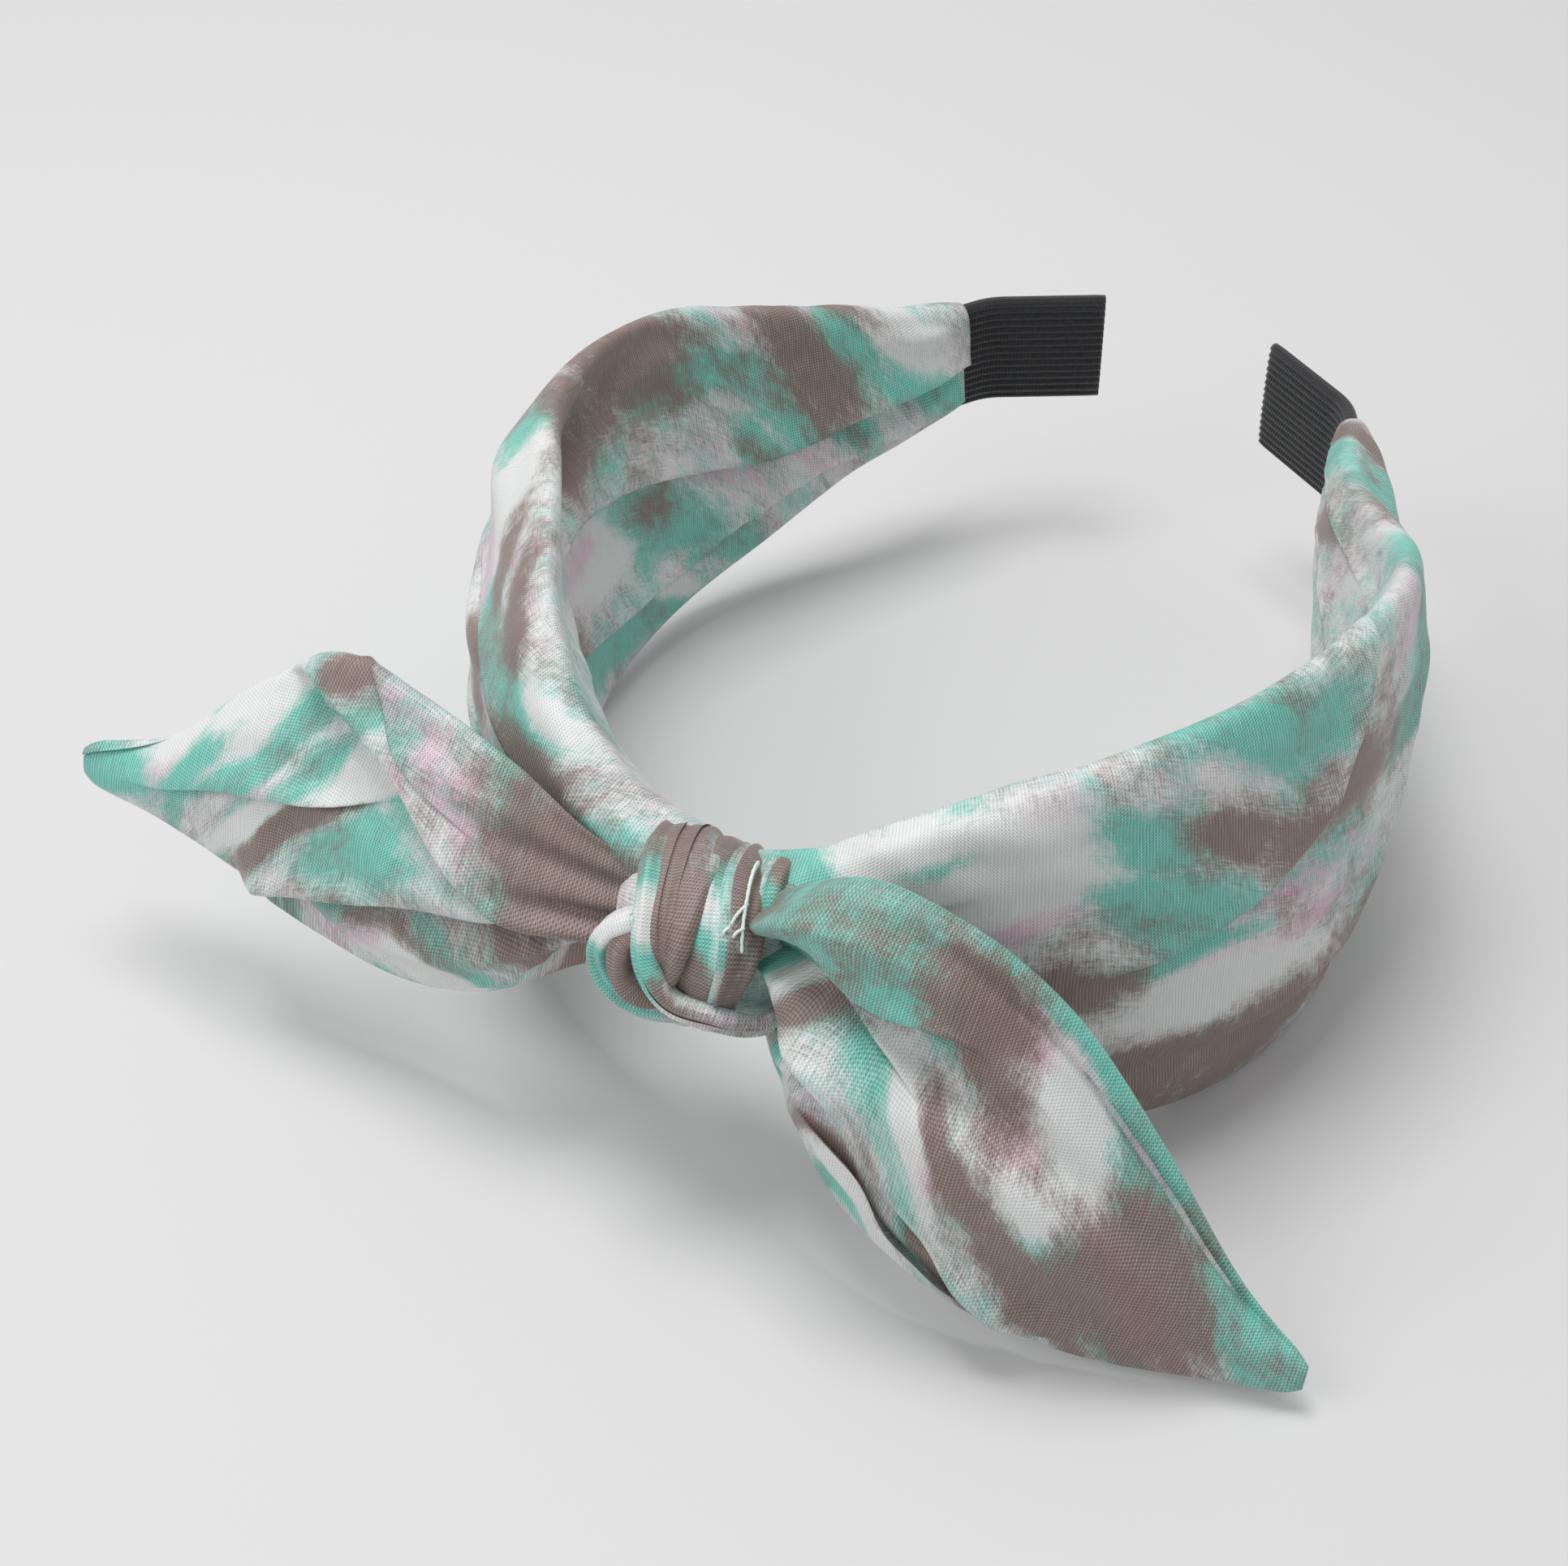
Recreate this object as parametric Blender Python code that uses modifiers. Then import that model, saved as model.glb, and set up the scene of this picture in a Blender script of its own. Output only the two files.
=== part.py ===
"""Knotted headband with two bow tails, lying on its lower edge.

Run it with: blender --background --python part.py

A flat plastic spring core runs round the head in a near-closed loop. A printed
fabric cover is wrapped round the core and lapped on the inside, a separate tie
is knotted round the crown, and black ribbed tape caps the two ends of the core.
The core, the cover and the tie are modelled in the lengths that move apart.

Frame: origin under the middle of the loop, at table level. +Z is up, across the
band's height. The crown and its knot are at -Y and the two open ends are at +Y.
"""

import math

import bmesh
import bpy
from mathutils import Matrix, Vector

MM = 0.001

# The loop, along the core's centre line, in plan.
CROWN_RADIUS = 61 * MM
ARC_ANGLE = math.radians(120)
STRAIGHT = 45 * MM
BEND_RADIUS = 10 * MM
BEND_ANGLE = math.radians(28)
END_FLAT = 15 * MM
ARC_LENGTH = CROWN_RADIUS * ARC_ANGLE
BEND_START = ARC_LENGTH + STRAIGHT
BEND_END = BEND_START + BEND_RADIUS * BEND_ANGLE
CORE_END = BEND_END + END_FLAT

# Heights. The widest part of the cover stands on the table.
BAND_HEIGHT = 60 * MM
MID_HEIGHT = BAND_HEIGHT / 2

# The spring core, a strip that is split where each arm flexes.
CORE_HALF_WIDTH = 8 * MM
CORE_HALF_THICKNESS = 0.8 * MM
CORE_EDGE = 0.3 * MM
FLEX_AT = 20.5 * MM
FLEX_SPLIT = 1 * MM

# Ribbed tape folded over each end of the core.
TAPE_START = 167 * MM
TAPE_WALL = 0.9 * MM
TAPE_EDGE = 0.6 * MM

# Clearances: between hard pieces that nest, and between soft ones.
NEST_GAP = 0.3 * MM
SOFT_GAP = 0.35 * MM

# The printed cover, as distances along the loop and (distance, size) stops.
COVER_START = 24 * MM
COVER_END = 171 * MM
COVER_WIDTHS = (
    (COVER_START, 32 * MM),
    (58 * MM, BAND_HEIGHT),
    (106 * MM, BAND_HEIGHT),
    (COVER_END, 24 * MM),
)
OUTER_PUFF = ((COVER_START, 3.9 * MM), (60 * MM, 7.5 * MM), (110 * MM, 7.5 * MM), (COVER_END, 4.2 * MM))
INNER_PUFF = ((COVER_START, 3.4 * MM), (60 * MM, 5 * MM), (110 * MM, 5 * MM), (COVER_END, 3.9 * MM))
LAP_HALF_GAP = 0.2 * MM
EDGE_FLAT = 2.5 * MM
EDGE_CROWN = 1 * MM
CHANNEL_STEP = 165 * MM
CORE_CHANNEL = (CORE_HALF_THICKNESS + 0.4 * MM, CORE_HALF_WIDTH + 0.4 * MM)
TAPE_CHANNEL = (2.4 * MM, 9.9 * MM)

# The gathered sleeve under the knot: depth behind and before the core, half height, corner.
SLEEVE_HALF_LENGTH = 17 * MM
SLEEVE = (-3.6 * MM, 5.4 * MM, 12.6 * MM, 3.2 * MM)

# The knot.
KNOT_HALF_LENGTH = 11 * MM
KNOT_BACK = -7 * MM
KNOT_FRONT = 8.6 * MM
KNOT_HALF_HEIGHT = 15.3 * MM
KNOT_CORNER = 4 * MM
WRAP_HALF_LENGTH = 10 * MM
WRAP_HALF_HEIGHT = 12.5 * MM
WRAP_EDGE = 1 * MM
WRAP_BULGE = 5.6 * MM
WRAP_FALL = 0.35
ROLL_RADIUS = 2.8 * MM
ROLL_PATH = ((-16, -72.4, 28), (-17, -74, 13), (-9, -73.8, 13.6), (9, -73.8, 13.8))
THREAD_RADIUS = 0.25 * MM
THREAD_LIFT = 0.6 * MM
THREAD_CORNERS = ((5.0, 8.5), (5.6, -1.5), (5.3, 2.0), (3.0, -0.5), (5.2, 0.5), (5.5, -6.0))

# The tails: two leaves, each of two panels with a rolled seam along the upper edge.
TAIL_ROOT_RADIUS = 8 * MM
TAIL_TIP_HALF = 1.2 * MM
TAIL_CUP = 3.5 * MM
PANEL_THICKNESS = 0.9 * MM
PANEL_OFFSET = 0.65 * MM
SEAM_RADIUS = 0.6 * MM
LEFT_TAIL = {
    "path": ((-15.5, -66, 30), (-36, -68, 32), (-64, -70, 31), (-87, -71, 25)),
    "half_width": 20 * MM,
    "widest": 0.42,
    "lean": math.radians(14),
}
RIGHT_TAIL = {
    "path": ((15.5, -66, 30), (38, -68, 29), (62, -82.4, 15), (87, -69.5, 4)),
    "half_width": 21 * MM,
    "widest": 0.34,
    "lean": math.radians(26),
}
TAIL_PIVOT_X = 15.5 * MM + TAIL_ROOT_RADIUS
TAIL_PIVOT_Y = -67 * MM

FABRIC = ("printed_fabric", (0.50, 0.62, 0.58), 0.55)
TAPE = ("black_ribbed_tape", (0.02, 0.02, 0.025), 0.8)
PLASTIC = ("core_plastic", (0.06, 0.06, 0.06), 0.4)
THREAD = ("thread", (0.82, 0.90, 0.87), 0.6)


def clear_scene():
    for obj in list(bpy.data.objects):
        bpy.data.objects.remove(obj)


def material(spec):
    name, colour, roughness = spec
    found = bpy.data.materials.get(name)
    if found:
        return found
    made = bpy.data.materials.new(name)
    made.use_nodes = True
    shader = made.node_tree.nodes["Principled BSDF"]
    shader.inputs["Base Color"].default_value = (*colour, 1)
    shader.inputs["Roughness"].default_value = roughness
    shader.inputs["Metallic"].default_value = 0
    return made


def smoothstep(t):
    t = min(1.0, max(0.0, t))
    return t * t * (3 - 2 * t)


def along(stops, at):
    """The value at a distance, eased between the (distance, value) stops."""
    if at <= stops[0][0]:
        return stops[0][1]
    for (a, first), (b, second) in zip(stops, stops[1:]):
        if at <= b:
            return first + (second - first) * smoothstep((at - a) / (b - a))
    return stops[-1][1]


# ---------------------------------------------------------------- the loop


def band_frame(s):
    """Position and heading at s along the core's centre line, from the crown. The right arm is s > 0."""
    side = 1 if s >= 0 else -1
    d = abs(s)
    angle = min(d, ARC_LENGTH) / CROWN_RADIUS
    x = CROWN_RADIUS * math.sin(angle)
    y = -CROWN_RADIUS * math.cos(angle)
    if d > ARC_LENGTH:
        run = min(d, BEND_START) - ARC_LENGTH
        x += run * math.cos(angle)
        y += run * math.sin(angle)
    if d > BEND_START:
        turned = angle + (min(d, BEND_END) - BEND_START) / BEND_RADIUS
        x += BEND_RADIUS * (math.sin(turned) - math.sin(angle))
        y += BEND_RADIUS * (math.cos(angle) - math.cos(turned))
        angle = turned
    if d > BEND_END:
        x += (d - BEND_END) * math.cos(angle)
        y += (d - BEND_END) * math.sin(angle)
    return side * x, y, side * angle


def place(s, outward, up):
    """A point at s along the loop, a distance out from the core's middle, and up from mid-height."""
    x, y, angle = band_frame(s)
    return Vector((x + outward * math.sin(angle), y - outward * math.cos(angle), MID_HEIGHT + up))


def stations(start, end):
    """Shared places along the loop, so that nested pieces follow the same facets. Closer in the bend."""
    step, fine_step, clear_of_ends = 7 * MM, 1.4 * MM, 0.8 * MM
    fine_from, fine_to = BEND_START - 1 * MM, BEND_END + 1 * MM
    reach = math.ceil(CORE_END / step)
    marks = [i * step for i in range(-reach, reach + 1)]
    marks = [m for m in marks if not fine_from < abs(m) < fine_to]
    count = math.ceil((fine_to - fine_from) / fine_step)
    bend = [fine_from + (fine_to - fine_from) * i / count for i in range(count + 1)]
    marks += bend + [-m for m in bend]
    inside = [m for m in marks if start + clear_of_ends < m < end - clear_of_ends]
    return [start, *sorted(inside), end]


# ---------------------------------------------------------------- building


def add_object(name, data, spec, parts):
    data.materials.append(material(spec))
    obj = bpy.data.objects.new(name, data)
    parts.objects.link(obj)
    return obj


def hinge_empty(name, at, parts):
    """An empty on a joint's axis, for the pieces that turn about it."""
    empty = bpy.data.objects.new(name, None)
    empty.location = at
    parts.objects.link(empty)
    return empty


def hang(pieces, hinge):
    for piece in pieces:
        piece.parent = hinge
        piece.matrix_parent_inverse = Matrix.Translation(-hinge.location)


def loft(name, rings, spec, parts, closed=False):
    """A solid through rings of equal count. A closed loft joins its last ring to its first."""
    bm = bmesh.new()
    layers = [[bm.verts.new(p) for p in ring] for ring in rings]
    pairs = list(zip(layers, layers[1:]))
    if closed:
        pairs.append((layers[-1], layers[0]))
    else:
        bm.faces.new(layers[0])
        bm.faces.new(layers[-1])
    for first, second in pairs:
        for i, vert in enumerate(first):
            j = (i + 1) % len(first)
            bm.faces.new((vert, first[j], second[j], second[i]))
    bmesh.ops.recalc_face_normals(bm, faces=bm.faces)
    mesh = bpy.data.meshes.new(name)
    bm.to_mesh(mesh)
    bm.free()
    mesh.shade_smooth()
    mesh.set_sharp_from_angle(angle=math.radians(40))
    return add_object(name, mesh, spec, parts)


def poly_tube(name, points, radius, spec, parts, sides=2):
    """A round tube along straight segments between points."""
    curve = bpy.data.curves.new(name, "CURVE")
    curve.dimensions = "3D"
    curve.bevel_depth = radius
    curve.bevel_resolution = sides
    curve.use_fill_caps = True
    spline = curve.splines.new("POLY")
    spline.points.add(len(points) - 1)
    for point, at in zip(spline.points, points):
        point.co = (*at, 1)
    return add_object(name, curve, spec, parts)


def rounded_loop(low, high, half_height, corner, per_corner=4):
    """A rounded rectangle as (outward, up) pairs."""
    corners = (
        (high - corner, half_height - corner, 0),
        (low + corner, half_height - corner, 1),
        (low + corner, corner - half_height, 2),
        (high - corner, corner - half_height, 3),
    )
    loop = []
    for n, z, quarter in corners:
        for i in range(per_corner):
            a = math.pi / 2 * (quarter + i / (per_corner - 1))
            loop.append((n + corner * math.cos(a), z + corner * math.sin(a)))
    return loop


def sweep(places, loop):
    return [[place(s, n, z) for n, z in loop] for s in places]


def bezier(controls_mm, count):
    """Even parameter steps along one cubic through four control points."""
    a, b, c, d = (Vector(p) * MM for p in controls_mm)
    made = []
    for i in range(count + 1):
        t = i / count
        u = 1 - t
        made.append(a * u**3 + b * (3 * u * u * t) + c * (3 * u * t * t) + d * t**3)
    return made


# ---------------------------------------------------------------- core and tape


def build_core_crown(parts):
    half = FLEX_AT - FLEX_SPLIT
    loop = rounded_loop(-CORE_HALF_THICKNESS, CORE_HALF_THICKNESS, CORE_HALF_WIDTH, CORE_EDGE, 2)
    return loft("core_crown", sweep(stations(-half, half), loop), PLASTIC, parts)


def build_core_arm(name, side, parts):
    loop = rounded_loop(-CORE_HALF_THICKNESS, CORE_HALF_THICKNESS, CORE_HALF_WIDTH, CORE_EDGE, 2)
    places = [side * s for s in stations(FLEX_AT + FLEX_SPLIT, CORE_END)]
    return loft(name, sweep(places, loop), PLASTIC, parts)


def build_end_tape(name, side, parts):
    """A pocket of tape: in along the slot, round its mouth, and back over the closed end."""
    slot_half = CORE_HALF_THICKNESS + NEST_GAP
    slot_height = CORE_HALF_WIDTH + NEST_GAP
    slot = rounded_loop(-slot_half, slot_half, slot_height, CORE_EDGE)
    outer_half = slot_half + TAPE_WALL
    outer = rounded_loop(-outer_half, outer_half, slot_height + TAPE_WALL, TAPE_EDGE)
    slot_places = [side * s for s in stations(TAPE_START, CORE_END + NEST_GAP)]
    outer_places = [side * s for s in stations(TAPE_START, CORE_END + NEST_GAP + TAPE_WALL)]
    rings = sweep(reversed(slot_places), slot) + sweep(outer_places, outer)
    return loft(name, rings, TAPE, parts)


# ---------------------------------------------------------------- cover


def cover_ring(s, face, puffs):
    """One section of the cover: face 1 is the outer wrap, and -1 is the lapped inside."""
    arc_steps = 6
    half = along(COVER_WIDTHS, abs(s)) / 2
    puff = along(puffs, abs(s))
    depth, channel = TAPE_CHANNEL if abs(s) > CHANNEL_STEP else CORE_CHANNEL
    flat = min(EDGE_FLAT, puff - EDGE_CROWN)
    ring = [(LAP_HALF_GAP, -half)]
    for i in range(arc_steps + 1):
        a = math.pi * i / arc_steps
        ring.append((flat + (puff - flat) * math.sin(a), -half * math.cos(a)))
    ring += [
        (LAP_HALF_GAP, half),
        (LAP_HALF_GAP, channel),
        (depth, channel),
        (depth, -channel),
        (LAP_HALF_GAP, -channel),
    ]
    return [place(s, face * n, z) for n, z in ring]


def build_cover_arm(name, side, face, puffs, parts):
    before = stations(COVER_START, CHANNEL_STEP)
    after = stations(CHANNEL_STEP + CORE_EDGE, COVER_END)
    rings = [cover_ring(side * s, face, puffs) for s in before + after]
    return loft(name, rings, FABRIC, parts)


def build_cover_crown(parts):
    """The gathered cover under the knot, a sleeve round the core."""
    places = stations(-SLEEVE_HALF_LENGTH, SLEEVE_HALF_LENGTH)
    depth, channel = CORE_CHANNEL
    slot = sweep(reversed(places), rounded_loop(-depth, depth, channel, CORE_EDGE))
    return loft("cover_crown", sweep(places, rounded_loop(*SLEEVE)) + slot, FABRIC, parts, closed=True)


# ---------------------------------------------------------------- knot


def build_knot_turn(parts):
    """The turn of the tie that goes right round the band."""
    places = stations(-KNOT_HALF_LENGTH, KNOT_HALF_LENGTH)
    outer = sweep(places, rounded_loop(KNOT_BACK, KNOT_FRONT, KNOT_HALF_HEIGHT, KNOT_CORNER))
    back, front, half_height, corner = SLEEVE
    hole = rounded_loop(back - SOFT_GAP, front + SOFT_GAP, half_height + SOFT_GAP, corner)
    return loft("knot_turn", outer + sweep(reversed(places), hole), FABRIC, parts, closed=True)


def wrap_surface(s, up):
    """How far out the front of the wrap stands at s and at a height from its middle."""
    dome = math.sqrt(max(0.0, 1 - (up / WRAP_HALF_HEIGHT) ** 2))
    fall = 1 - WRAP_FALL * (s / WRAP_HALF_LENGTH) ** 2
    return KNOT_FRONT + SOFT_GAP + WRAP_EDGE + WRAP_BULGE * dome * fall


def build_knot_wrap(parts):
    """The pleated turn in front, from over the top edge to under the bottom one."""
    back = KNOT_FRONT + SOFT_GAP
    length_steps, height_steps = 6, 8
    rings = []
    for i in range(length_steps + 1):
        s = WRAP_HALF_LENGTH * (2 * i / length_steps - 1)
        ring = [(back, -WRAP_HALF_HEIGHT)]
        for j in range(height_steps + 1):
            up = -WRAP_HALF_HEIGHT * math.cos(math.pi * j / height_steps)
            ring.append((wrap_surface(s, up), up))
        ring.append((back, WRAP_HALF_HEIGHT))
        rings.append([place(s, n, z) for n, z in ring])
    return loft("knot_wrap", rings, FABRIC, parts)


def build_tack_thread(parts):
    """A loose zigzag of the thread that tacks the knot down."""
    points = []
    for s, up in THREAD_CORNERS:
        points.append(place(s * MM, wrap_surface(s * MM, up * MM) + THREAD_LIFT, up * MM))
    return poly_tube("tack_thread", points, THREAD_RADIUS, THREAD, parts, sides=1)


# ---------------------------------------------------------------- tails


def leaf_half_width(run, length, tail):
    """Half the tail's width at a run along its path: a round root, a full middle and a point."""
    widest, half_width = tail["widest"], tail["half_width"]
    if run < TAIL_ROOT_RADIUS:
        rounded = math.sqrt(TAIL_ROOT_RADIUS**2 - (TAIL_ROOT_RADIUS - run) ** 2)
        return max(TAIL_TIP_HALF, rounded)
    t = run / length
    if t < widest:
        start = TAIL_ROOT_RADIUS / length
        return TAIL_ROOT_RADIUS + (half_width - TAIL_ROOT_RADIUS) * smoothstep((t - start) / (widest - start))
    fall = (t - widest) / (1 - widest)
    return TAIL_TIP_HALF + (half_width - TAIL_TIP_HALF) * (1 - fall**1.7)


def tail_runs(length):
    """Distances along a tail: close together round the root, then even."""
    root_steps, blade_steps = 4, 12
    root = [TAIL_ROOT_RADIUS * (1 - math.cos(math.pi / 2 * i / root_steps)) for i in range(root_steps)]
    blade = [TAIL_ROOT_RADIUS + (length - TAIL_ROOT_RADIUS) * i / blade_steps for i in range(blade_steps + 1)]
    return root, blade


def tail_sections(tail):
    """For each run along a tail: its middle, the direction across it, its normal and its half width."""
    path = bezier(tail["path"], 200)
    runs = [0.0]
    for a, b in zip(path, path[1:]):
        runs.append(runs[-1] + (b - a).length)
    length = runs[-1]
    root, blade = tail_runs(length)
    sections = []
    for run in root + blade:
        k = min(len(path) - 2, sum(1 for r in runs if r <= run) - 1)
        share = (run - runs[k]) / (runs[k + 1] - runs[k])
        middle = path[k].lerp(path[k + 1], share)
        tangent = (path[k + 1] - path[k]).normalized()
        tilt = tail["lean"] * smoothstep((run - TAIL_ROOT_RADIUS) / (0.4 * length))
        up = Vector((0, math.sin(tilt), math.cos(tilt)))
        across = (up - tangent * up.dot(tangent)).normalized()
        normal = tangent.cross(across)
        if normal.y > 0:
            normal.negate()
        cup = TAIL_CUP * leaf_half_width(run, length, tail) / tail["half_width"]
        sections.append((middle, across, normal, leaf_half_width(run, length, tail), cup))
    return sections, len(root)


def build_panel(name, sections, offset, parts):
    """One layer of a tail, cupped towards the front, as an open surface given its thickness."""
    half_columns = 4
    bm = bmesh.new()
    rows = []
    for middle, across, normal, half, cup in sections:
        row = []
        for column in range(-half_columns, half_columns + 1):
            v = column / half_columns
            row.append(bm.verts.new(middle + across * (v * half) + normal * (cup * (1 - v * v) + offset)))
        rows.append(row)
    for a, b in zip(rows, rows[1:]):
        for i in range(len(a) - 1):
            bm.faces.new((a[i], a[i + 1], b[i + 1], b[i]))
    mesh = bpy.data.meshes.new(name)
    bm.to_mesh(mesh)
    bm.free()
    mesh.shade_smooth()
    obj = add_object(name, mesh, FABRIC, parts)
    shell = obj.modifiers.new("cloth_thickness", "SOLIDIFY")
    shell.thickness = PANEL_THICKNESS
    shell.offset = 0
    return obj


def build_tail(name, tail, parts):
    sections, root_count = tail_sections(tail)
    front = build_panel(f"{name}_front", sections, PANEL_OFFSET, parts)
    back = build_panel(f"{name}_back", sections, -PANEL_OFFSET, parts)
    clear = SEAM_RADIUS + PANEL_THICKNESS / 2 + SOFT_GAP
    edge = [middle + across * (half + clear) for middle, across, _, half, _ in sections[root_count:]]
    seam = poly_tube(f"{name}_seam", edge, SEAM_RADIUS, FABRIC, parts, sides=1)
    return [front, back, seam]


# ---------------------------------------------------------------- assembly


def build_arm(label, side, parts):
    pieces = [
        build_core_arm(f"core_arm_{label}", side, parts),
        build_end_tape(f"end_tape_{label}", side, parts),
        build_cover_arm(f"cover_{label}_outer", side, 1, OUTER_PUFF, parts),
        build_cover_arm(f"cover_{label}_inner", side, -1, INNER_PUFF, parts),
    ]
    hang(pieces, hinge_empty(f"arm_flex_{label}_axis", place(side * FLEX_AT, 0, 0), parts))


def build_tail_on_hinge(label, side, tail, parts):
    pivot = Vector((side * TAIL_PIVOT_X, TAIL_PIVOT_Y, MID_HEIGHT))
    hang(build_tail(f"tail_{label}", tail, parts), hinge_empty(f"tail_{label}_lift_axis", pivot, parts))


def main():
    clear_scene()
    parts = bpy.data.collections.new("knotted_headband")
    bpy.context.scene.collection.children.link(parts)
    build_core_crown(parts)
    build_cover_crown(parts)
    build_knot_turn(parts)
    build_knot_wrap(parts)
    poly_tube("knot_roll", bezier(ROLL_PATH, 10), ROLL_RADIUS, FABRIC, parts)
    build_tack_thread(parts)
    build_arm("left", -1, parts)
    build_arm("right", 1, parts)
    build_tail_on_hinge("left", -1, LEFT_TAIL, parts)
    build_tail_on_hinge("right", 1, RIGHT_TAIL, parts)


main()
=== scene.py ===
"""The looks of the knotted headband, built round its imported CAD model.

Each soft piece is a tube of cloth: a run of closed sections, with pleats folded
into them, and a printed weave whose pattern follows the cloth through the folds.
Lengths in this script are millimetres until a mesh is made.
"""

import math

import bmesh
import bpy
import numpy as np
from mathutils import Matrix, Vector


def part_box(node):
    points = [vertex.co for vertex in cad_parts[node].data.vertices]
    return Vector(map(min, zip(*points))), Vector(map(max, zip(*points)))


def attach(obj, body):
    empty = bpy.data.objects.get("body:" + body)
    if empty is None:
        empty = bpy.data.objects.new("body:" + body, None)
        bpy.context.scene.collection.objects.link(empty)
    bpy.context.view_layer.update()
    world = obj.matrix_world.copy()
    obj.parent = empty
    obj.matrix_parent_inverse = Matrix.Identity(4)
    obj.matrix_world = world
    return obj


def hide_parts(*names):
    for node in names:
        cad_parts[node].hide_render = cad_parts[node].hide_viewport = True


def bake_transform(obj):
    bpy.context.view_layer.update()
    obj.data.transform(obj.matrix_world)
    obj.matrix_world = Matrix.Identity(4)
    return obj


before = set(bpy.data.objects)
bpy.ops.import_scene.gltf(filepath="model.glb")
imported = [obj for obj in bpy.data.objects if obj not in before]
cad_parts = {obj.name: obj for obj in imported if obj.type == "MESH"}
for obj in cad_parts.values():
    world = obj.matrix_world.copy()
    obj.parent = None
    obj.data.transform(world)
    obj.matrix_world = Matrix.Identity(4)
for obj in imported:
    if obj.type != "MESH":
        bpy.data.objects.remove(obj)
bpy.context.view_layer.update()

MM = 0.001


def corner_mm(node, which):
    """A CAD node's lowest (0) or highest (1) corner, in millimetres."""
    return np.array(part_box(node)[which]) / MM


# ---------------------------------------------------------------- the loop, from the core

CORE_HALF_THICKNESS = 0.8
MID = (corner_mm("core_crown", 0)[2] + corner_mm("core_crown", 1)[2]) / 2
RADIUS = -corner_mm("core_crown", 0)[1] - CORE_HALF_THICKNESS
ARC_ANGLE = math.radians(120)
BEND_RADIUS = 10.0
BEND_ANGLE = math.radians(28)
END_FLAT = 15.0
ARC = RADIUS * ARC_ANGLE


def straight_length():
    """The straight between the arc and the end bend, from how far back the core reaches."""
    back = corner_mm("core_arm_right", 1)[1]
    after = ARC_ANGLE + BEND_ANGLE
    rest = -RADIUS * math.cos(ARC_ANGLE) + BEND_RADIUS * (math.cos(ARC_ANGLE) - math.cos(after))
    rest += END_FLAT * math.sin(after) - CORE_HALF_THICKNESS * math.cos(after)
    return (back - rest) / math.sin(ARC_ANGLE)


BEND_START = ARC + straight_length()
BEND_END = BEND_START + BEND_RADIUS * BEND_ANGLE
CORE_END = BEND_END + END_FLAT


def heading(d):
    """Plan position and heading at distances d along the right arm's centre line, from the crown."""
    d = np.asarray(d, float)
    a = np.minimum(d, ARC) / RADIUS
    x = RADIUS * np.sin(a)
    y = -RADIUS * np.cos(a)
    run = np.clip(d, ARC, BEND_START) - ARC
    x = x + run * np.cos(a)
    y = y + run * np.sin(a)
    b = a + (np.clip(d, BEND_START, BEND_END) - BEND_START) / BEND_RADIUS
    x = x + BEND_RADIUS * (np.sin(b) - np.sin(a))
    y = y + BEND_RADIUS * (np.cos(a) - np.cos(b))
    end = np.maximum(d, BEND_END) - BEND_END
    return x + end * np.cos(b), y + end * np.sin(b), b


# ---------------------------------------------------------------- curves and sections


def through(stops, at):
    """Smooth values at positions, through stops (position, value, value...). Flat beyond the ends."""
    stops = np.array(stops, float)
    x, y = stops[:, 0], stops[:, 1:]
    slope = np.gradient(y, x, axis=0)
    at = np.clip(np.asarray(at, float), x[0], x[-1])
    i = np.clip(np.searchsorted(x, at, side="right") - 1, 0, len(x) - 2)
    gap = (x[i + 1] - x[i])[..., None]
    t = (at - x[i])[..., None] / gap
    value = (
        y[i] * (2 * t**3 - 3 * t**2 + 1)
        + slope[i] * gap * (t**3 - 2 * t**2 + t)
        + y[i + 1] * (3 * t**2 - 2 * t**3)
        + slope[i + 1] * gap * (t**3 - t**2)
    )
    return value[..., 0] if value.shape[-1] == 1 else value


def ease(t):
    t = np.clip(t, 0, 1)
    return t * t * (3 - 2 * t)


def blur_rows(points, sigma, closed):
    """Gaussian blur across each row of a (rows, columns, 3) grid, sigma in columns."""
    reach = max(1, int(3 * sigma))
    kernel = np.exp(-0.5 * (np.arange(-reach, reach + 1) / sigma) ** 2)
    kernel /= kernel.sum()
    mode = "wrap" if closed else "edge"
    padded = np.pad(points, ((0, 0), (reach, reach), (0, 0)), mode=mode)
    width = points.shape[1]
    return sum(k * padded[:, i : i + width] for i, k in enumerate(kernel))


LIP_RADIUS = 0.9


class Pleat:
    """A fold across a tube of cloth: the layer in front ends in a lip that overlaps the layer behind.

    at: stops (u, share of the way round) for the lip. lap: stops (u, overlap in mm).
    side: 1 if the front layer comes before the lip, going round, and -1 if it comes after.
    depth is the step at the lip in mm, and sink the share of it by which the layer behind goes down.
    front and back are how far the rise and the sinking reach, in mm, and roll the share of the rise by
    which the cloth has turned down again at the lip.
    """

    def __init__(self, at, lap, side, depth=1.4, front=3.0, back=3.5, sink=0.3, roll=0.35):
        self.at, self.lap, self.side, self.depth = at, lap, side, depth
        self.front, self.back, self.sink, self.roll = front, back, sink, roll


class Ridge:
    """A soft fold with no overlap: at as in Pleat, height and width as stops (u, mm)."""

    def __init__(self, at, height, width):
        self.at, self.height, self.width = at, height, width


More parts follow.
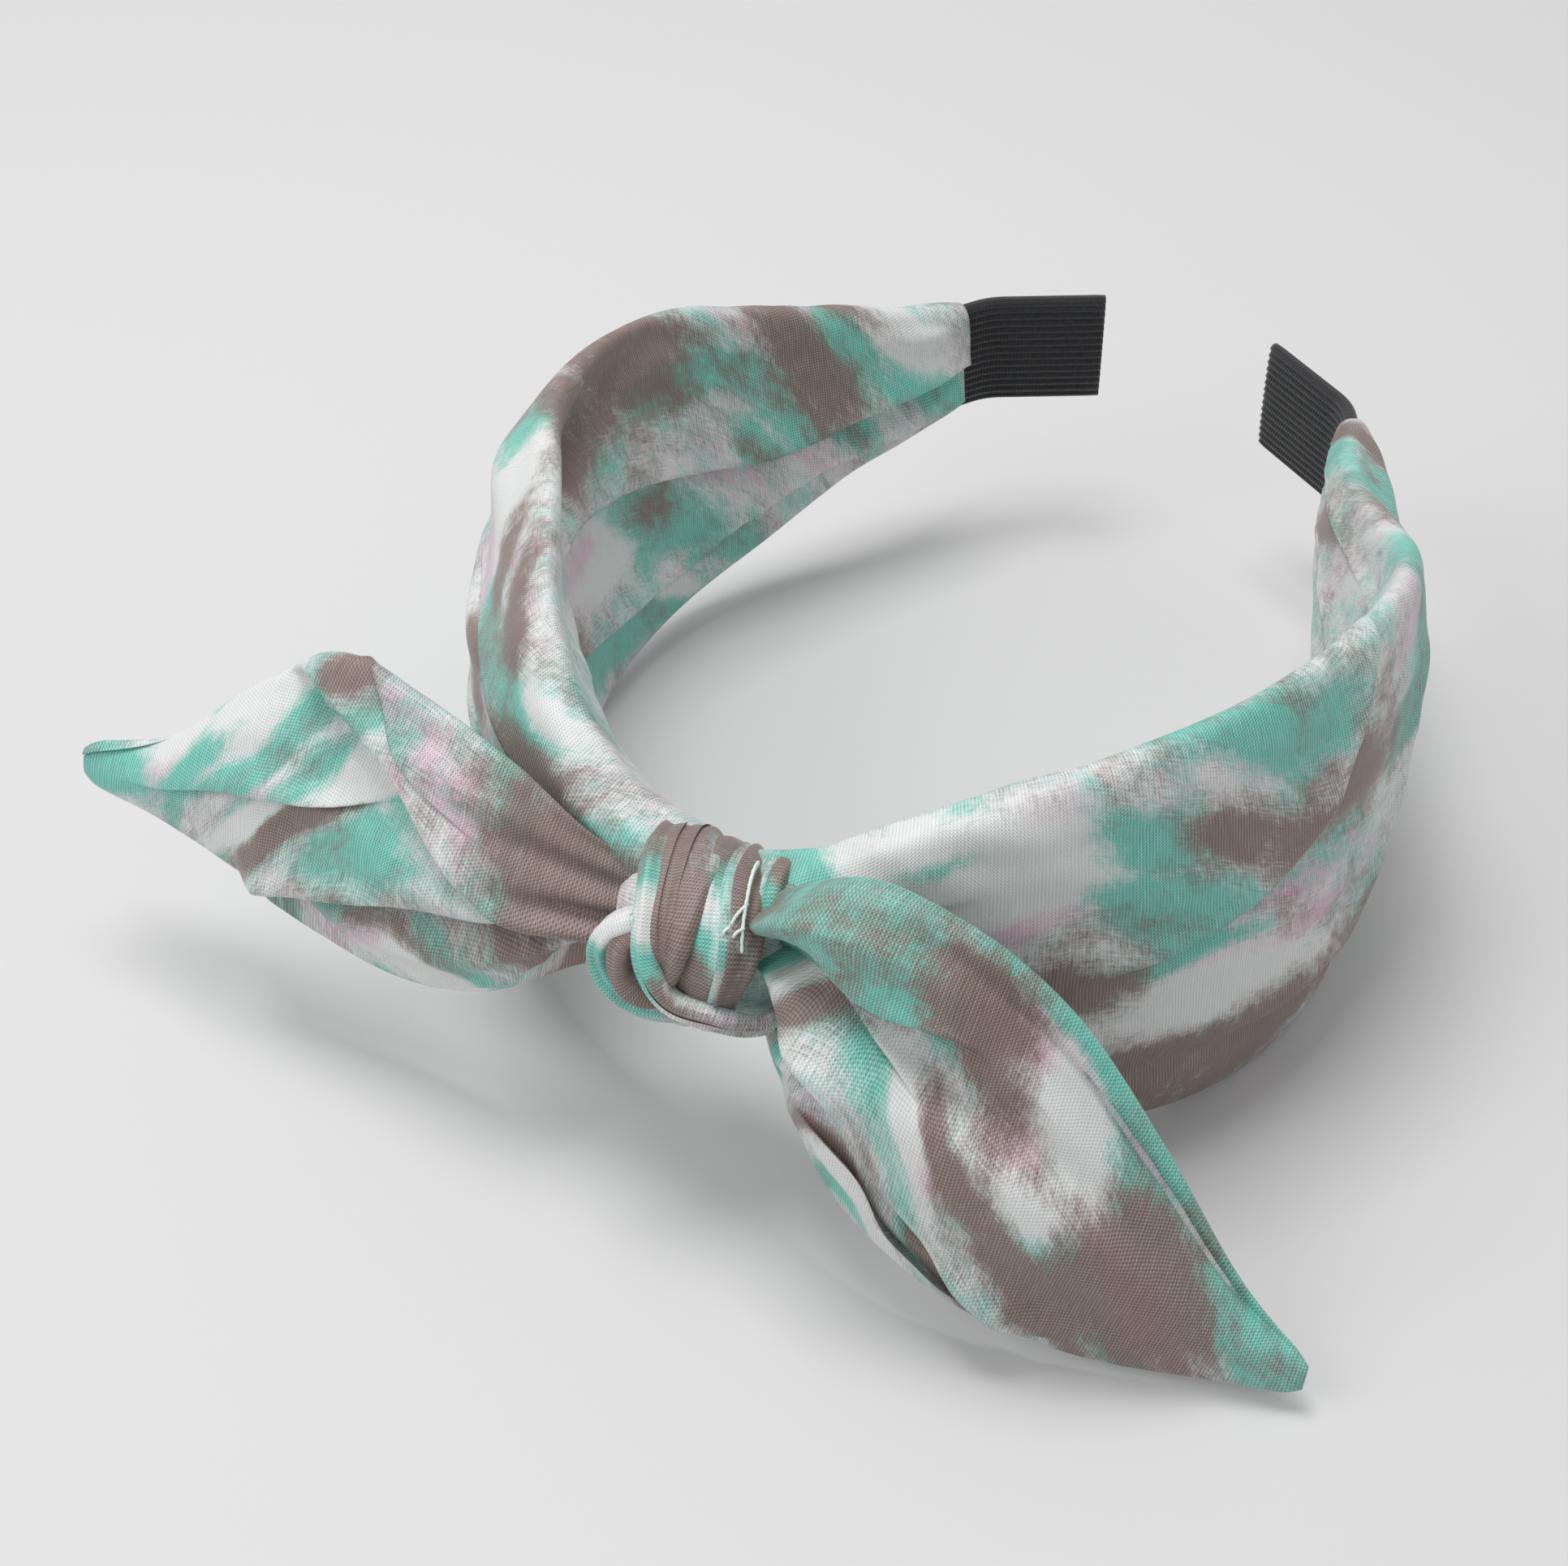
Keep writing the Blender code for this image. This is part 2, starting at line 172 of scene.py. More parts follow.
def crumple(along_mm, round_mm, seed, height):
    """Gentle unevenness of slack cloth: a few slow waves, each bent by another, about height mm deep."""
    rng = np.random.default_rng(int(seed))
    total = np.zeros_like(round_mm)
    for _ in range(7):
        along_wave, round_wave = rng.uniform(18, 60), rng.uniform(6, 16)
        phase, bend, sign = rng.uniform(0, 6.28, 3)
        wander = 1.2 * np.sin(along_mm / rng.uniform(8, 20) + bend)
        slope = along_mm / along_wave * (1 if sign > 3.14 else -1)
        total += np.sin(6.28 * (slope + round_mm / round_wave) + phase + wander)
    return height * total / 4


def fold(sections, us, along_mm, pleats, ridges, columns, roundness=0.5, slack=0.25, seed=0.0):
    """Folds pleats, ridges and a little slack into closed sections (rows, points, 3).

    Returns the folded grid and, for each of its points, how far round the cloth (mm) and how far round
    the plain section (share) it is. A last column repeats the first, for the cloth's own coordinate.
    """
    count = sections.shape[0]
    closed = np.concatenate([sections, sections[:, :1]], 1)
    arc = np.concatenate(
        [np.zeros((count, 1)), np.cumsum(np.linalg.norm(np.diff(closed, axis=1), axis=2), axis=1)], 1
    )
    centre = sections.mean(1)
    forward = np.gradient(centre, axis=0)
    tangent = np.roll(sections, -1, 1) - np.roll(sections, 1, 1)
    normal = np.cross(tangent, forward[:, None, :])
    normal /= np.linalg.norm(normal, axis=2, keepdims=True) + 1e-9
    outward = np.sum(normal * (sections - centre[:, None, :]), axis=(1, 2))
    normal *= np.sign(outward.sum())
    normal = np.concatenate([normal, normal[:, :1]], 1)

    grid = np.zeros((count, columns, 3))
    round_mm = np.zeros((count, columns + 1))
    share = np.zeros((count, columns + 1))
    for row in range(count):
        u, girth = us[row], arc[row, -1]
        laps = []
        for p in pleats:
            length = max(0.0, float(through(p.lap, u)))
            laps.append((float(through(p.at, u)) * girth, length, p))
        laps.sort(key=lambda lap: lap[0])
        knots_m, knots_a, folded, lips = [0.0], [0.0], 0.0, []
        for at, length, p in laps:
            turn = at if p.side > 0 else at + length
            m = turn + folded
            knots_m += [m, m + length + 1e-6]
            knots_a += [turn, turn - length]
            lips.append((m if p.side > 0 else m + length, length, p))
            folded += 2 * length
        total = girth + folded
        knots_m.append(total)
        knots_a.append(girth)
        m = np.linspace(0, total, columns + 1)
        a = np.interp(m, knots_m, knots_a)
        depth = np.zeros_like(m)
        for lip, length, p in lips:
            q = (m - lip) * p.side
            full = p.depth * min(1.0, length / 2)
            under = ease(q / max(length, 0.3))
            roll = p.roll * min(1.0, length / 3)
            step = (1 - p.sink) * (1 - roll) * (1 - under) - p.sink * under
            rise = np.exp(np.minimum(q, 0) / p.front) - roll * np.exp(np.minimum(q, 0) / LIP_RADIUS)
            before = (1 - p.sink) * rise
            after = -p.sink * np.exp(-np.maximum(q - length, 0) / p.back)
            depth += full * np.where(q < 0, before, np.where(q > length, after, step))
        for r in ridges:
            away = np.abs(a / girth - float(through(r.at, u)))
            away = np.minimum(away, 1 - away) * girth
            depth += float(through(r.height, u)) * np.exp(-((away / float(through(r.width, u))) ** 2))
        join = ease(np.minimum(a, girth - a) / 6)
        depth += join * crumple(along_mm[row], a, abs(seed) + 3, slack)
        base = np.stack([np.interp(a, arc[row], closed[row, :, k]) for k in range(3)], -1)
        out = np.stack([np.interp(a, arc[row], normal[row, :, k]) for k in range(3)], -1)
        out /= np.linalg.norm(out, axis=1, keepdims=True) + 1e-9
        grid[row] = (base + out * depth[:, None])[:columns]
        round_mm[row], share[row] = m, a / girth
    spacing = round_mm[:, -1].mean() / columns
    grid = blur_rows(grid, max(0.6, roundness / spacing), closed=True)
    grid = np.swapaxes(blur_rows(np.swapaxes(grid, 0, 1), 0.8, closed=False), 0, 1)
    return grid, round_mm, share


# ---------------------------------------------------------------- dye

# DUSK is mint with a little taupe over it. WHITE keeps the dyes away.
BROWN, TEAL, PINK, WHITE, DUSK = range(5)


def dye_fields(us, along_mm, round_mm, share, patches):
    """How much each dye is favoured over the flat cloth: 0 where chance decides, below 0 in white patches.

    patches: (dye, how far along in the piece's own u, share of the way round, half length and half width in
    mm, slant in degrees). They give the main masses of colour, and the material's noise does the rest.
    """
    fields = np.zeros((*round_mm.shape, 5))
    girth = round_mm[:, -1:]
    for dye, u, where, length, width, slant in patches:
        row = np.argmin(np.abs(us - u))
        around = round_mm[row, np.argmin(np.abs(share[row] - where))]
        dx = along_mm[:, None] - along_mm[row]
        dy = round_mm - around
        dy = dy - np.round(dy / girth) * girth
        c, s = math.cos(math.radians(slant)), math.sin(math.radians(slant))
        r2 = ((dx * c + dy * s) / length) ** 2 + ((dy * c - dx * s) / width) ** 2
        fields[..., dye] = 1 - (1 - fields[..., dye]) * (1 - np.exp(-0.69 * r2**1.2))
    fields[..., BROWN] += 0.3 * fields[..., DUSK] * (1 - fields[..., BROWN])
    fields[..., TEAL] = np.maximum(fields[..., TEAL], fields[..., DUSK])
    return fields[..., :3] - fields[..., WHITE:DUSK]


# ---------------------------------------------------------------- materials


class Nodes:
    """Small helpers for writing a node tree."""

    def __init__(self, name):
        self.material = bpy.data.materials.new(name)
        self.material.use_nodes = True
        self.tree = self.material.node_tree
        self.shader = self.tree.nodes["Principled BSDF"]

    def add(self, kind, inputs=None, **settings):
        node = self.tree.nodes.new(kind)
        for key, value in settings.items():
            setattr(node, key, value)
        for key, value in (inputs or {}).items():
            self.feed(node.inputs[key], value)
        return node

    def feed(self, socket, value):
        if isinstance(value, bpy.types.NodeSocket):
            self.tree.links.new(value, socket)
        else:
            socket.default_value = value

    def math(self, operation, a, b=0.0, c=0.0):
        return self.add("ShaderNodeMath", {0: a, 1: b, 2: c}, operation=operation).outputs[0]

    def scaled(self, vector, scale, offset=(0, 0, 0)):
        node = self.add("ShaderNodeVectorMath", {0: vector, 1: scale, 2: offset}, operation="MULTIPLY_ADD")
        return node.outputs[0]

    def noise(self, vector, scale, detail=2.0, rough=0.5):
        made = self.add(
            "ShaderNodeTexNoise", {"Vector": vector, "Scale": scale, "Detail": detail, "Roughness": rough}
        )
        return made.outputs["Fac"]

    def window(self, value, low, high):
        """0 below low, 1 above high, and a smooth step between."""
        node = self.add(
            "ShaderNodeMapRange", {"Value": value, "From Min": low, "From Max": high}, interpolation_type="SMOOTHSTEP"
        )
        return node.outputs["Result"]

    def mix(self, factor, a, b):
        node = self.add("ShaderNodeMix", data_type="RGBA")
        self.feed(node.inputs["Factor"], factor)
        self.feed(node.inputs["A"], a)
        self.feed(node.inputs["B"], b)
        return node.outputs["Result"]


def linear(red, green, blue):
    """A colour given in 0 to 255 display values, as the linear values that a shader takes."""
    made = []
    for v in (red, green, blue):
        v = v / 255
        made.append(v / 12.92 if v <= 0.04045 else ((v + 0.055) / 1.055) ** 2.4)
    return (*made, 1.0)


THREAD_PITCH = 0.40


def printed_cloth():
    """Off-white satin with soft blots of taupe, mint and blush dye that creep along the threads; its colour also
    carries painted shade on the threads beneath and painted glints on the threads that float over.
    """
    n = Nodes("printed_satin")
    cloth = n.add("ShaderNodeAttribute", attribute_name="cloth").outputs["Vector"]
    dye = n.add("ShaderNodeAttribute", attribute_name="dye").outputs["Vector"]
    fields = n.add("ShaderNodeSeparateXYZ", {"Vector": dye}).outputs
    creep_along = n.noise(n.scaled(cloth, (0.45, 3.6, 1)), 1.0, 3.0, 0.7)
    creep_round = n.noise(n.scaled(cloth, (3.6, 0.45, 1), (40, 0, 0)), 1.0, 3.0, 0.7)
    both_ways = n.math("ADD", creep_along, creep_round)
    creep = n.math("MULTIPLY_ADD", both_ways, 0.70, -0.70)

    def density(field, offset, low, high):
        """How strongly one dye has taken: favoured by its patches, uneven, and feathered at its edges."""
        moved = n.scaled(cloth, (1, 1, 1), offset)
        uneven = n.math("MULTIPLY_ADD", n.noise(moved, 0.09, 1.0), 1.1, -0.55)
        ragged = n.math("MULTIPLY_ADD", n.noise(moved, 0.3, 3.0, 0.6), 0.9, -0.45)
        total = n.math("ADD", n.math("MULTIPLY_ADD", field, 0.82, uneven), n.math("ADD", ragged, creep))
        return n.window(total, low, high)

    pink = density(fields[PINK], (0, 0, 30), -0.28, 0.62)
    teal = density(fields[TEAL], (0, 0, 60), -0.24, 0.52)
    brown = density(fields[BROWN], (0, 0, 90), -0.16, 0.60)
    colour = n.mix(pink, linear(229, 231, 229), linear(224, 182, 202))
    colour = n.mix(teal, colour, linear(60, 192, 174))
    colour = n.mix(n.math("MULTIPLY", brown, 0.95), colour, linear(114, 80, 68))

    turns = 2 * math.pi / THREAD_PITCH
    parts = n.add("ShaderNodeSeparateXYZ", {"Vector": cloth}).outputs
    jitter = n.math("MULTIPLY_ADD", n.noise(cloth, 0.7, 2.0), 2.4, 0.0)
    across = n.math("SINE", n.math("MULTIPLY_ADD", parts[0], turns, jitter))
    along = n.math("SINE", n.math("MULTIPLY_ADD", parts[1], turns, jitter))
    slub = n.noise(n.scaled(cloth, (2.2, 0.35, 1)), 1.0, 2.0)
    crossing = n.math("MULTIPLY", across, along)
    float_over = n.math("MULTIPLY_ADD", crossing, 0.5, n.math("MULTIPLY_ADD", across, 0.3, 0.5))
    # Pale threads: partly the cloth's own white threads and partly painted glints on the threads that float over,
    # fainter on the brown dye.
    white_threads_and_glints = n.math("MULTIPLY", float_over, n.math("MULTIPLY_ADD", slub, 0.45, 0.12))
    white_threads_and_glints = n.math("MULTIPLY", white_threads_and_glints, n.math("MULTIPLY_ADD", brown, -0.40, 1.0))
    threads = n.mix(white_threads_and_glints, colour, linear(240, 242, 240))
    # Painted weave shade: the colour is lightened on floating threads and darkened on the threads beneath, with a
    # little slub unevenness.
    painted_weave_shade = n.math("MULTIPLY_ADD", float_over, 0.30, n.math("MULTIPLY_ADD", slub, 0.12, 0.74))
    dye_and_weave_light = n.add("ShaderNodeVectorMath", {0: threads, "Scale": painted_weave_shade}, operation="SCALE").outputs[0]
    bump = n.add("ShaderNodeBump", {"Strength": 0.45, "Distance": 0.0001, "Height": float_over})
    n.feed(n.shader.inputs["Base Color"], dye_and_weave_light)
    n.feed(n.shader.inputs["Roughness"], n.math("MULTIPLY_ADD", slub, 0.2, 0.34))
    n.feed(n.shader.inputs["Normal"], bump.outputs["Normal"])
    n.feed(n.shader.inputs["Sheen Weight"], 0.12)
    n.feed(n.shader.inputs["Sheen Roughness"], 0.4)
    n.feed(n.shader.inputs["Specular IOR Level"], 0.5)
    return n.material


def ribbed_tape():
    """Matt black tape, whose ribs are in the mesh: fine cross threads and a little dust."""
    n = Nodes("black_ribbed_tape")
    cloth = n.add("ShaderNodeAttribute", attribute_name="cloth").outputs["Vector"]
    parts = n.add("ShaderNodeSeparateXYZ", {"Vector": cloth}).outputs
    cross = n.math("SINE", n.math("MULTIPLY", parts[0], 2 * math.pi / 0.55))
    dust = n.noise(cloth, 1.4, 3.0)
    colour = n.mix(n.window(dust, 0.35, 0.75), linear(24, 24, 27), linear(40, 40, 44))
    bump = n.add("ShaderNodeBump", {"Strength": 0.4, "Distance": 0.0001, "Height": cross})
    n.feed(n.shader.inputs["Base Color"], colour)
    n.feed(n.shader.inputs["Roughness"], 0.8)
    n.feed(n.shader.inputs["Normal"], bump.outputs["Normal"])
    n.feed(n.shader.inputs["Sheen Weight"], 0.3)
    return n.material


def moulded_plastic():
    """The core strip: dark plastic with a faint moulded grain."""
    n = Nodes("core_plastic")
    place_mm = n.scaled(n.add("ShaderNodeTexCoord").outputs["Object"], (1000, 1000, 1000))
    grain = n.noise(place_mm, 6.0, 3.0)
    colour = n.mix(n.window(n.noise(place_mm, 0.2), 0.3, 0.7), linear(52, 52, 54), linear(66, 66, 68))
    bump = n.add("ShaderNodeBump", {"Strength": 0.2, "Distance": 0.0001, "Height": grain})
    n.feed(n.shader.inputs["Base Color"], colour)
    n.feed(n.shader.inputs["Roughness"], n.math("MULTIPLY_ADD", grain, 0.15, 0.4))
    n.feed(n.shader.inputs["Normal"], bump.outputs["Normal"])
    return n.material


def sewing_thread():
    """Pale twisted thread."""
    n = Nodes("pale_thread")
    place_mm = n.scaled(n.add("ShaderNodeTexCoord").outputs["Object"], (1000, 1000, 1000))
    twist = n.noise(n.scaled(place_mm, (1, 1, 3)), 2.5, 2.0)
    colour = n.mix(twist, linear(214, 232, 226), linear(240, 246, 243))
    bump = n.add("ShaderNodeBump", {"Strength": 0.5, "Distance": 0.0001, "Height": twist})
    n.feed(n.shader.inputs["Base Color"], colour)
    n.feed(n.shader.inputs["Roughness"], 0.6)
    n.feed(n.shader.inputs["Normal"], bump.outputs["Normal"])
    n.feed(n.shader.inputs["Sheen Weight"], 0.3)
    return n.material


SATIN = printed_cloth()
TAPE = ribbed_tape()
PLASTIC = moulded_plastic()
THREAD = sewing_thread()


# ---------------------------------------------------------------- meshes


def tube_mesh(name, grid, along_mm, round_mm, fields, material, seed, cap=(True, True), thickness=0.0):
    """A mesh from a closed grid. The cloth coordinate is stored on face corners, so that it has no seam."""
    rows, columns = grid.shape[:2]
    mesh = bpy.data.meshes.new(name)
    i, j = np.meshgrid(np.arange(rows - 1), np.arange(columns), indexing="ij")
    after = (j + 1) % columns
    quads = np.stack([i * columns + j, i * columns + after, (i + 1) * columns + after, (i + 1) * columns + j], -1)
    quads = quads.reshape(-1, 4)
    ends = [list(range(columns))[::-1]] if cap[0] else []
    if cap[1]:
        ends.append(list(range((rows - 1) * columns, rows * columns)))
    mesh.from_pydata((grid.reshape(-1, 3) * MM).tolist(), [], quads.tolist() + ends)
    across = np.stack([round_mm[i, j], round_mm[i, j + 1], round_mm[i + 1, j + 1], round_mm[i + 1, j]], -1)
    lengthwise = np.stack([along_mm[i], along_mm[i], along_mm[i + 1], along_mm[i + 1]], -1)
    corners = np.stack([lengthwise, across, np.full_like(across, seed)], -1).reshape(-1, 3)
    spare = sum(len(end) for end in ends)
    corners = np.concatenate([corners, np.tile([along_mm[0], 0.0, seed], (spare, 1))])
    cloth = mesh.attributes.new("cloth", "FLOAT_VECTOR", "CORNER")
    cloth.data.foreach_set("vector", corners.astype(np.float32).ravel())
    if fields is not None:
        dye = mesh.attributes.new("dye", "FLOAT_VECTOR", "POINT")
        dye.data.foreach_set("vector", fields[:, :columns].reshape(-1, 3).astype(np.float32).ravel())
    mesh.materials.append(material)
    bm = bmesh.new()
    bm.from_mesh(mesh)
    bmesh.ops.recalc_face_normals(bm, faces=bm.faces)
    bm.to_mesh(mesh)
    bm.free()
    mesh.shade_smooth()
    obj = bpy.data.objects.new(name, mesh)
    bpy.context.scene.collection.objects.link(obj)
    if thickness:
        shell = obj.modifiers.new("cloth_thickness", "SOLIDIFY")
        shell.thickness = thickness * MM
        shell.offset = -1
    return obj


def cloth_tube(name, sections, us, along_mm, pleats=(), ridges=(), dyes=(), columns=240, seed=0.0, **options):
    """A folded, printed tube of cloth through closed sections."""
    shape = {key: options.pop(key) for key in ("roundness", "slack") if key in options}
    grid, round_mm, share = fold(sections, us, along_mm, pleats, ridges, columns, seed=seed, **shape)
    fields = dye_fields(us, along_mm, round_mm, share, dyes)
    return tube_mesh(name, grid, along_mm, round_mm, fields, SATIN, seed, **options)


# ---------------------------------------------------------------- the cover

SLEEVE_END = 170.5
SECTION_POINTS = 96


CORE_HALF_WIDTH = (corner_mm("core_crown", 1)[2] - corner_mm("core_crown", 0)[2]) / 2
CORE_CLEARANCE = 1.0


def clear_of_core(out, height, turn):
    """Outward distances kept far enough from the core where the cloth passes over it."""
    outer = turn < np.pi
    over = ease((CORE_HALF_WIDTH + 4 - np.abs(height - MID)) / 3) * np.minimum(1, 1.8 * np.abs(np.sin(turn)))
    least = CORE_HALF_THICKNESS + CORE_CLEARANCE
    return np.where(outer, out + over * np.maximum(0, least - out), out - over * np.maximum(0, least + out))


def sleeve_sections(side, ds, shape):
    """Closed sections of one arm's sleeve. They start at the bottom edge and go up the outside.

    shape: stops (distance, bottom, top, lean of the bottom, lean of the top, outer bulge, inner bulge), where
    bottom and top are heights from mid-height, and the leans and bulges are outward and inward distances.
    """
    bottom, top, lean_low, lean_high, outer, inner = through(shape, ds).T[:, :, None]
    turn = np.linspace(0, 2 * np.pi, SECTION_POINTS, endpoint=False)[None, :]
    rise = (1 - np.cos(turn)) / 2
    height = MID + bottom + (top - bottom) * rise
    swell = np.abs(np.sin(turn)) ** 0.75
    lean = lean_low * (1 - rise) ** 2.2 + lean_high * rise**2.2
    out = lean + np.where(turn < np.pi, outer, -inner) * swell
    out = clear_of_core(out, height, turn)
    x, y, a = (v[:, None] for v in heading(ds))
    return np.stack([side * (x + out * np.sin(a)), y - out * np.cos(a), height], -1)


RIGHT_SHAPE = (
    (5, -11, 12, 0, 0, 4.5, 3.6),
    (14, -14, 15, 0, 0, 5.0, 3.6),
    (22, -19, 20, 0.5, 0, 5.5, 3.8),
    (34, -24, 25, 1.0, -1.0, 6.0, 4.0),
    (50, -27.5, 28, 1.5, -2.0, 5.2, 4.2),
    (70, -29.5, 28.5, 0.5, -3.0, 4.4, 4.5),
    (95, -29.5, 27.2, -2.5, -2.8, 3.5, 4.5),
    (112, -27.5, 24.0, -4.0, -2.0, 3.2, 4.5),
    (124, -25.0, 20.5, -4.5, -2.0, 3.8, 4.5),
    (136, -21.5, 17.0, -5.0, -3.0, 3.6, 4.5),
    (148, -17.5, 14.0, -4.5, -4.0, 3.4, 4.0),
    (158, -14.0, 12.2, -3.0, -2.5, 3.0, 3.4),
    (164, -11.5, 10.8, -1.0, -1.0, 2.4, 2.6),
    (168, -10.0, 9.8, 0, 0, 2.0, 2.0),
    (170.5, -9.0, 9.0, 0, 0, 1.5, 1.5),
)
LEFT_SHAPE = (
    (1, -11, 12, 0, 0, 4.5, 3.6),
    (10, -13, 14, 0, 0, 5.0, 3.6),
    (20, -18, 18.5, 0, -1.5, 5.5, 3.8),
    (34, -24, 24, -1.0, -5.0, 5.5, 4.2),
    (50, -27.5, 26.5, -4.0, -9.0, 4.2, 4.5),
    (70, -29.5, 27, -8.0, -9.5, 3.2, 4.5),
    (86, -29.5, 26, -8.0, -6.0, 3.2, 4.2),
    (98, -29.4, 25.5, -6.0, -3.2, 3.0, 4.0),
    (120, -26.5, 23, -2.0, 0, 3.6, 4.0),
    (135, -22.0, 19, 0, 0, 3.6, 4.0),
    (150, -15.0, 14.6, 0, 0, 3.4, 3.6),
    (162, -12.0, 11.0, 0, 0, 2.8, 2.8),
    (168, -10.0, 9.8, 0, 0, 2.0, 2.0),
    (170.5, -9.0, 9.0, 0, 0, 1.5, 1.5),
)

# Shares round a sleeve: 0 is the bottom edge, 0.25 the outside, 0.5 the top edge and 0.75 the inside.
RIGHT_PLEATS = (
    Pleat(((5, 0.20), (60, 0.23)), ((5, 3.5), (22, 3), (46, 0), (171, 0)), 1, depth=2.4),
    Pleat(((5, 0.36), (60, 0.40)), ((5, 3), (20, 2), (34, 0), (171, 0)), -1, depth=2.2),
    Pleat(
        ((5, 0.27), (56, 0.26), (80, 0.35), (93, 0.49), (171, 0.49)),
        ((5, 0), (44, 0), (60, 2), (78, 3.5), (97, 0), (171, 0)), -1, depth=3.6, front=5, sink=0.4,
    ),
    Pleat(
        ((5, 0.11), (78, 0.12), (92, 0.15), (110, 0.4), (171, 0.4)),
        ((5, 0), (62, 0), (80, 2.5), (96, 3.5), (116, 0), (171, 0)), -1, depth=3.8, front=5, sink=0.4,
    ),
    Pleat(((5, 0.80), (60, 0.84), (171, 0.76)), ((5, 2), (60, 3), (155, 4), (171, 1)), 1, depth=2.2, front=4),
    Pleat(((5, 0.60), (171, 0.64)), ((5, 0), (125, 0), (155, 2.5), (171, 1)), 1, depth=1.5),
)
LEFT_PLEATS = (
    Pleat(((1, 0.22), (60, 0.25)), ((1, 4), (25, 3.5), (62, 0), (171, 0)), 1, depth=3),
    Pleat(((1, 0.36), (90, 0.36)), ((1, 4), (25, 3.5), (85, 0), (171, 0)), -1, depth=3),
    Pleat(
        ((1, 0.64), (60, 0.66), (100, 0.71), (140, 0.78), (171, 0.75)),
        ((1, 1), (60, 3), (100, 4.5), (150, 4), (171, 1)), 1, depth=5, front=5, back=5, sink=0.4,
    ),
    Pleat(
        ((1, 0.84), (60, 0.84), (120, 0.90), (140, 0.87), (171, 0.93)),
        ((1, 0), (60, 1), (100, 4), (140, 3), (171, 0.5)), 1, depth=4, front=4, back=4, sink=0.4,
    ),
)
LEFT_VALLEY = Ridge(
    ((1, 0.64), (72, 0.62), (100, 0.57), (120, 0.53)), ((1, 0), (58, 0), (76, -5), (98, -3), (118, 0)),
    ((1, 3.5), (171, 3.5)),
)
LEFT_SHOULDER = Ridge(
    ((1, 0.43), (171, 0.43)), ((40, 0), (62, 1), (80, 4), (95, 2.5), (110, 0)), ((1, 7), (171, 7)),
)


def gathers(shares, reach, height=1.1, width=1.8):
    """Short puckers where the cloth is drawn in, fading out by reach (mm along)."""
    made = []
    for k, where in enumerate(shares):
        fade = reach * (0.7 + 0.3 * ((k * 5) % 3))
        sign = 1 if k % 2 else -1
        rise = ((0, height * sign), (fade * 0.6, height * 0.7 * sign), (fade, 0))
        made.append(Ridge(((0, where), (200, where)), rise, ((0, width), (200, width * 1.6))))
    return made


def end_gathers(shares, start, height=0.7, width=1.8):
    """Puckers at the tape's mouth, growing from start (mm along) to the end."""
    made = []
    for k, where in enumerate(shares):
        rise = ((0, 0), (start - 9 * (k % 3), 0), (SLEEVE_END - 5, height), (SLEEVE_END, 0))
        made.append(Ridge(((0, where), (200, where)), rise, ((0, width), (200, width))))
    return made


def build_sleeve(label, side, shape, pleats, dyes, ridges=()):
    ds = np.arange(shape[0][0], SLEEVE_END + 0.01, 0.75)
    puckers = gathers((0.10, 0.15, 0.29, 0.42, 0.50, 0.60, 0.70), 45)
    puckers += end_gathers((0.10, 0.30, 0.42, 0.60, 0.85), 150)
    sleeve = cloth_tube(
        f"cover_{label}", sleeve_sections(side, ds, shape), ds, ds, pleats, [*puckers, *ridges], dyes,
        columns=250, seed=10.0 * side, cap=(True, False), thickness=0.35,
    )
    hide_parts(f"cover_{label}_outer", f"cover_{label}_inner")
    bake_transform(sleeve)
    return sleeve


# Patches of dye. On a sleeve the place along it is in mm from the crown.
RIGHT_DYES = (
    (TEAL, 16, 0.44, 8, 3, 0), (WHITE, 34, 0.40, 14, 6, 0), (TEAL, 30, 0.43, 6, 1.5, 10),
    (PINK, 40, 0.34, 7, 2, 10), (TEAL, 52, 0.40, 8, 4, 10), (TEAL, 70, 0.46, 16, 4, 0),
    (BROWN, 62, 0.38, 5, 3, 0), (DUSK, 56, 0.31, 12, 5, -10), (BROWN, 82, 0.36, 13, 6, -15),
    (PINK, 74, 0.27, 10, 2, 10), (BROWN, 44, 0.24, 8, 4, 0), (TEAL, 58, 0.25, 10, 2, 5),
    (WHITE, 62, 0.19, 12, 4, 12), (PINK, 78, 0.21, 9, 2, 15), (BROWN, 60, 0.08, 22, 8, 5),
    (BROWN, 88, 0.13, 18, 8, 12), (BROWN, 108, 0.22, 14, 6, 20), (TEAL, 100, 0.34, 5, 3, 0),
    (TEAL, 112, 0.44, 10, 4, 0), (WHITE, 118, 0.40, 5, 3, 0), (BROWN, 130, 0.40, 8, 6, 60),
    (TEAL, 146, 0.40, 9, 6, 0), (BROWN, 160, 0.44, 8, 3, 0), (TEAL, 162, 0.60, 7, 5, 0),
    (BROWN, 150, 0.66, 8, 4, 0), (DUSK, 90, 0.70, 16, 7, 10), (BROWN, 50, 0.72, 14, 6, -20),
)
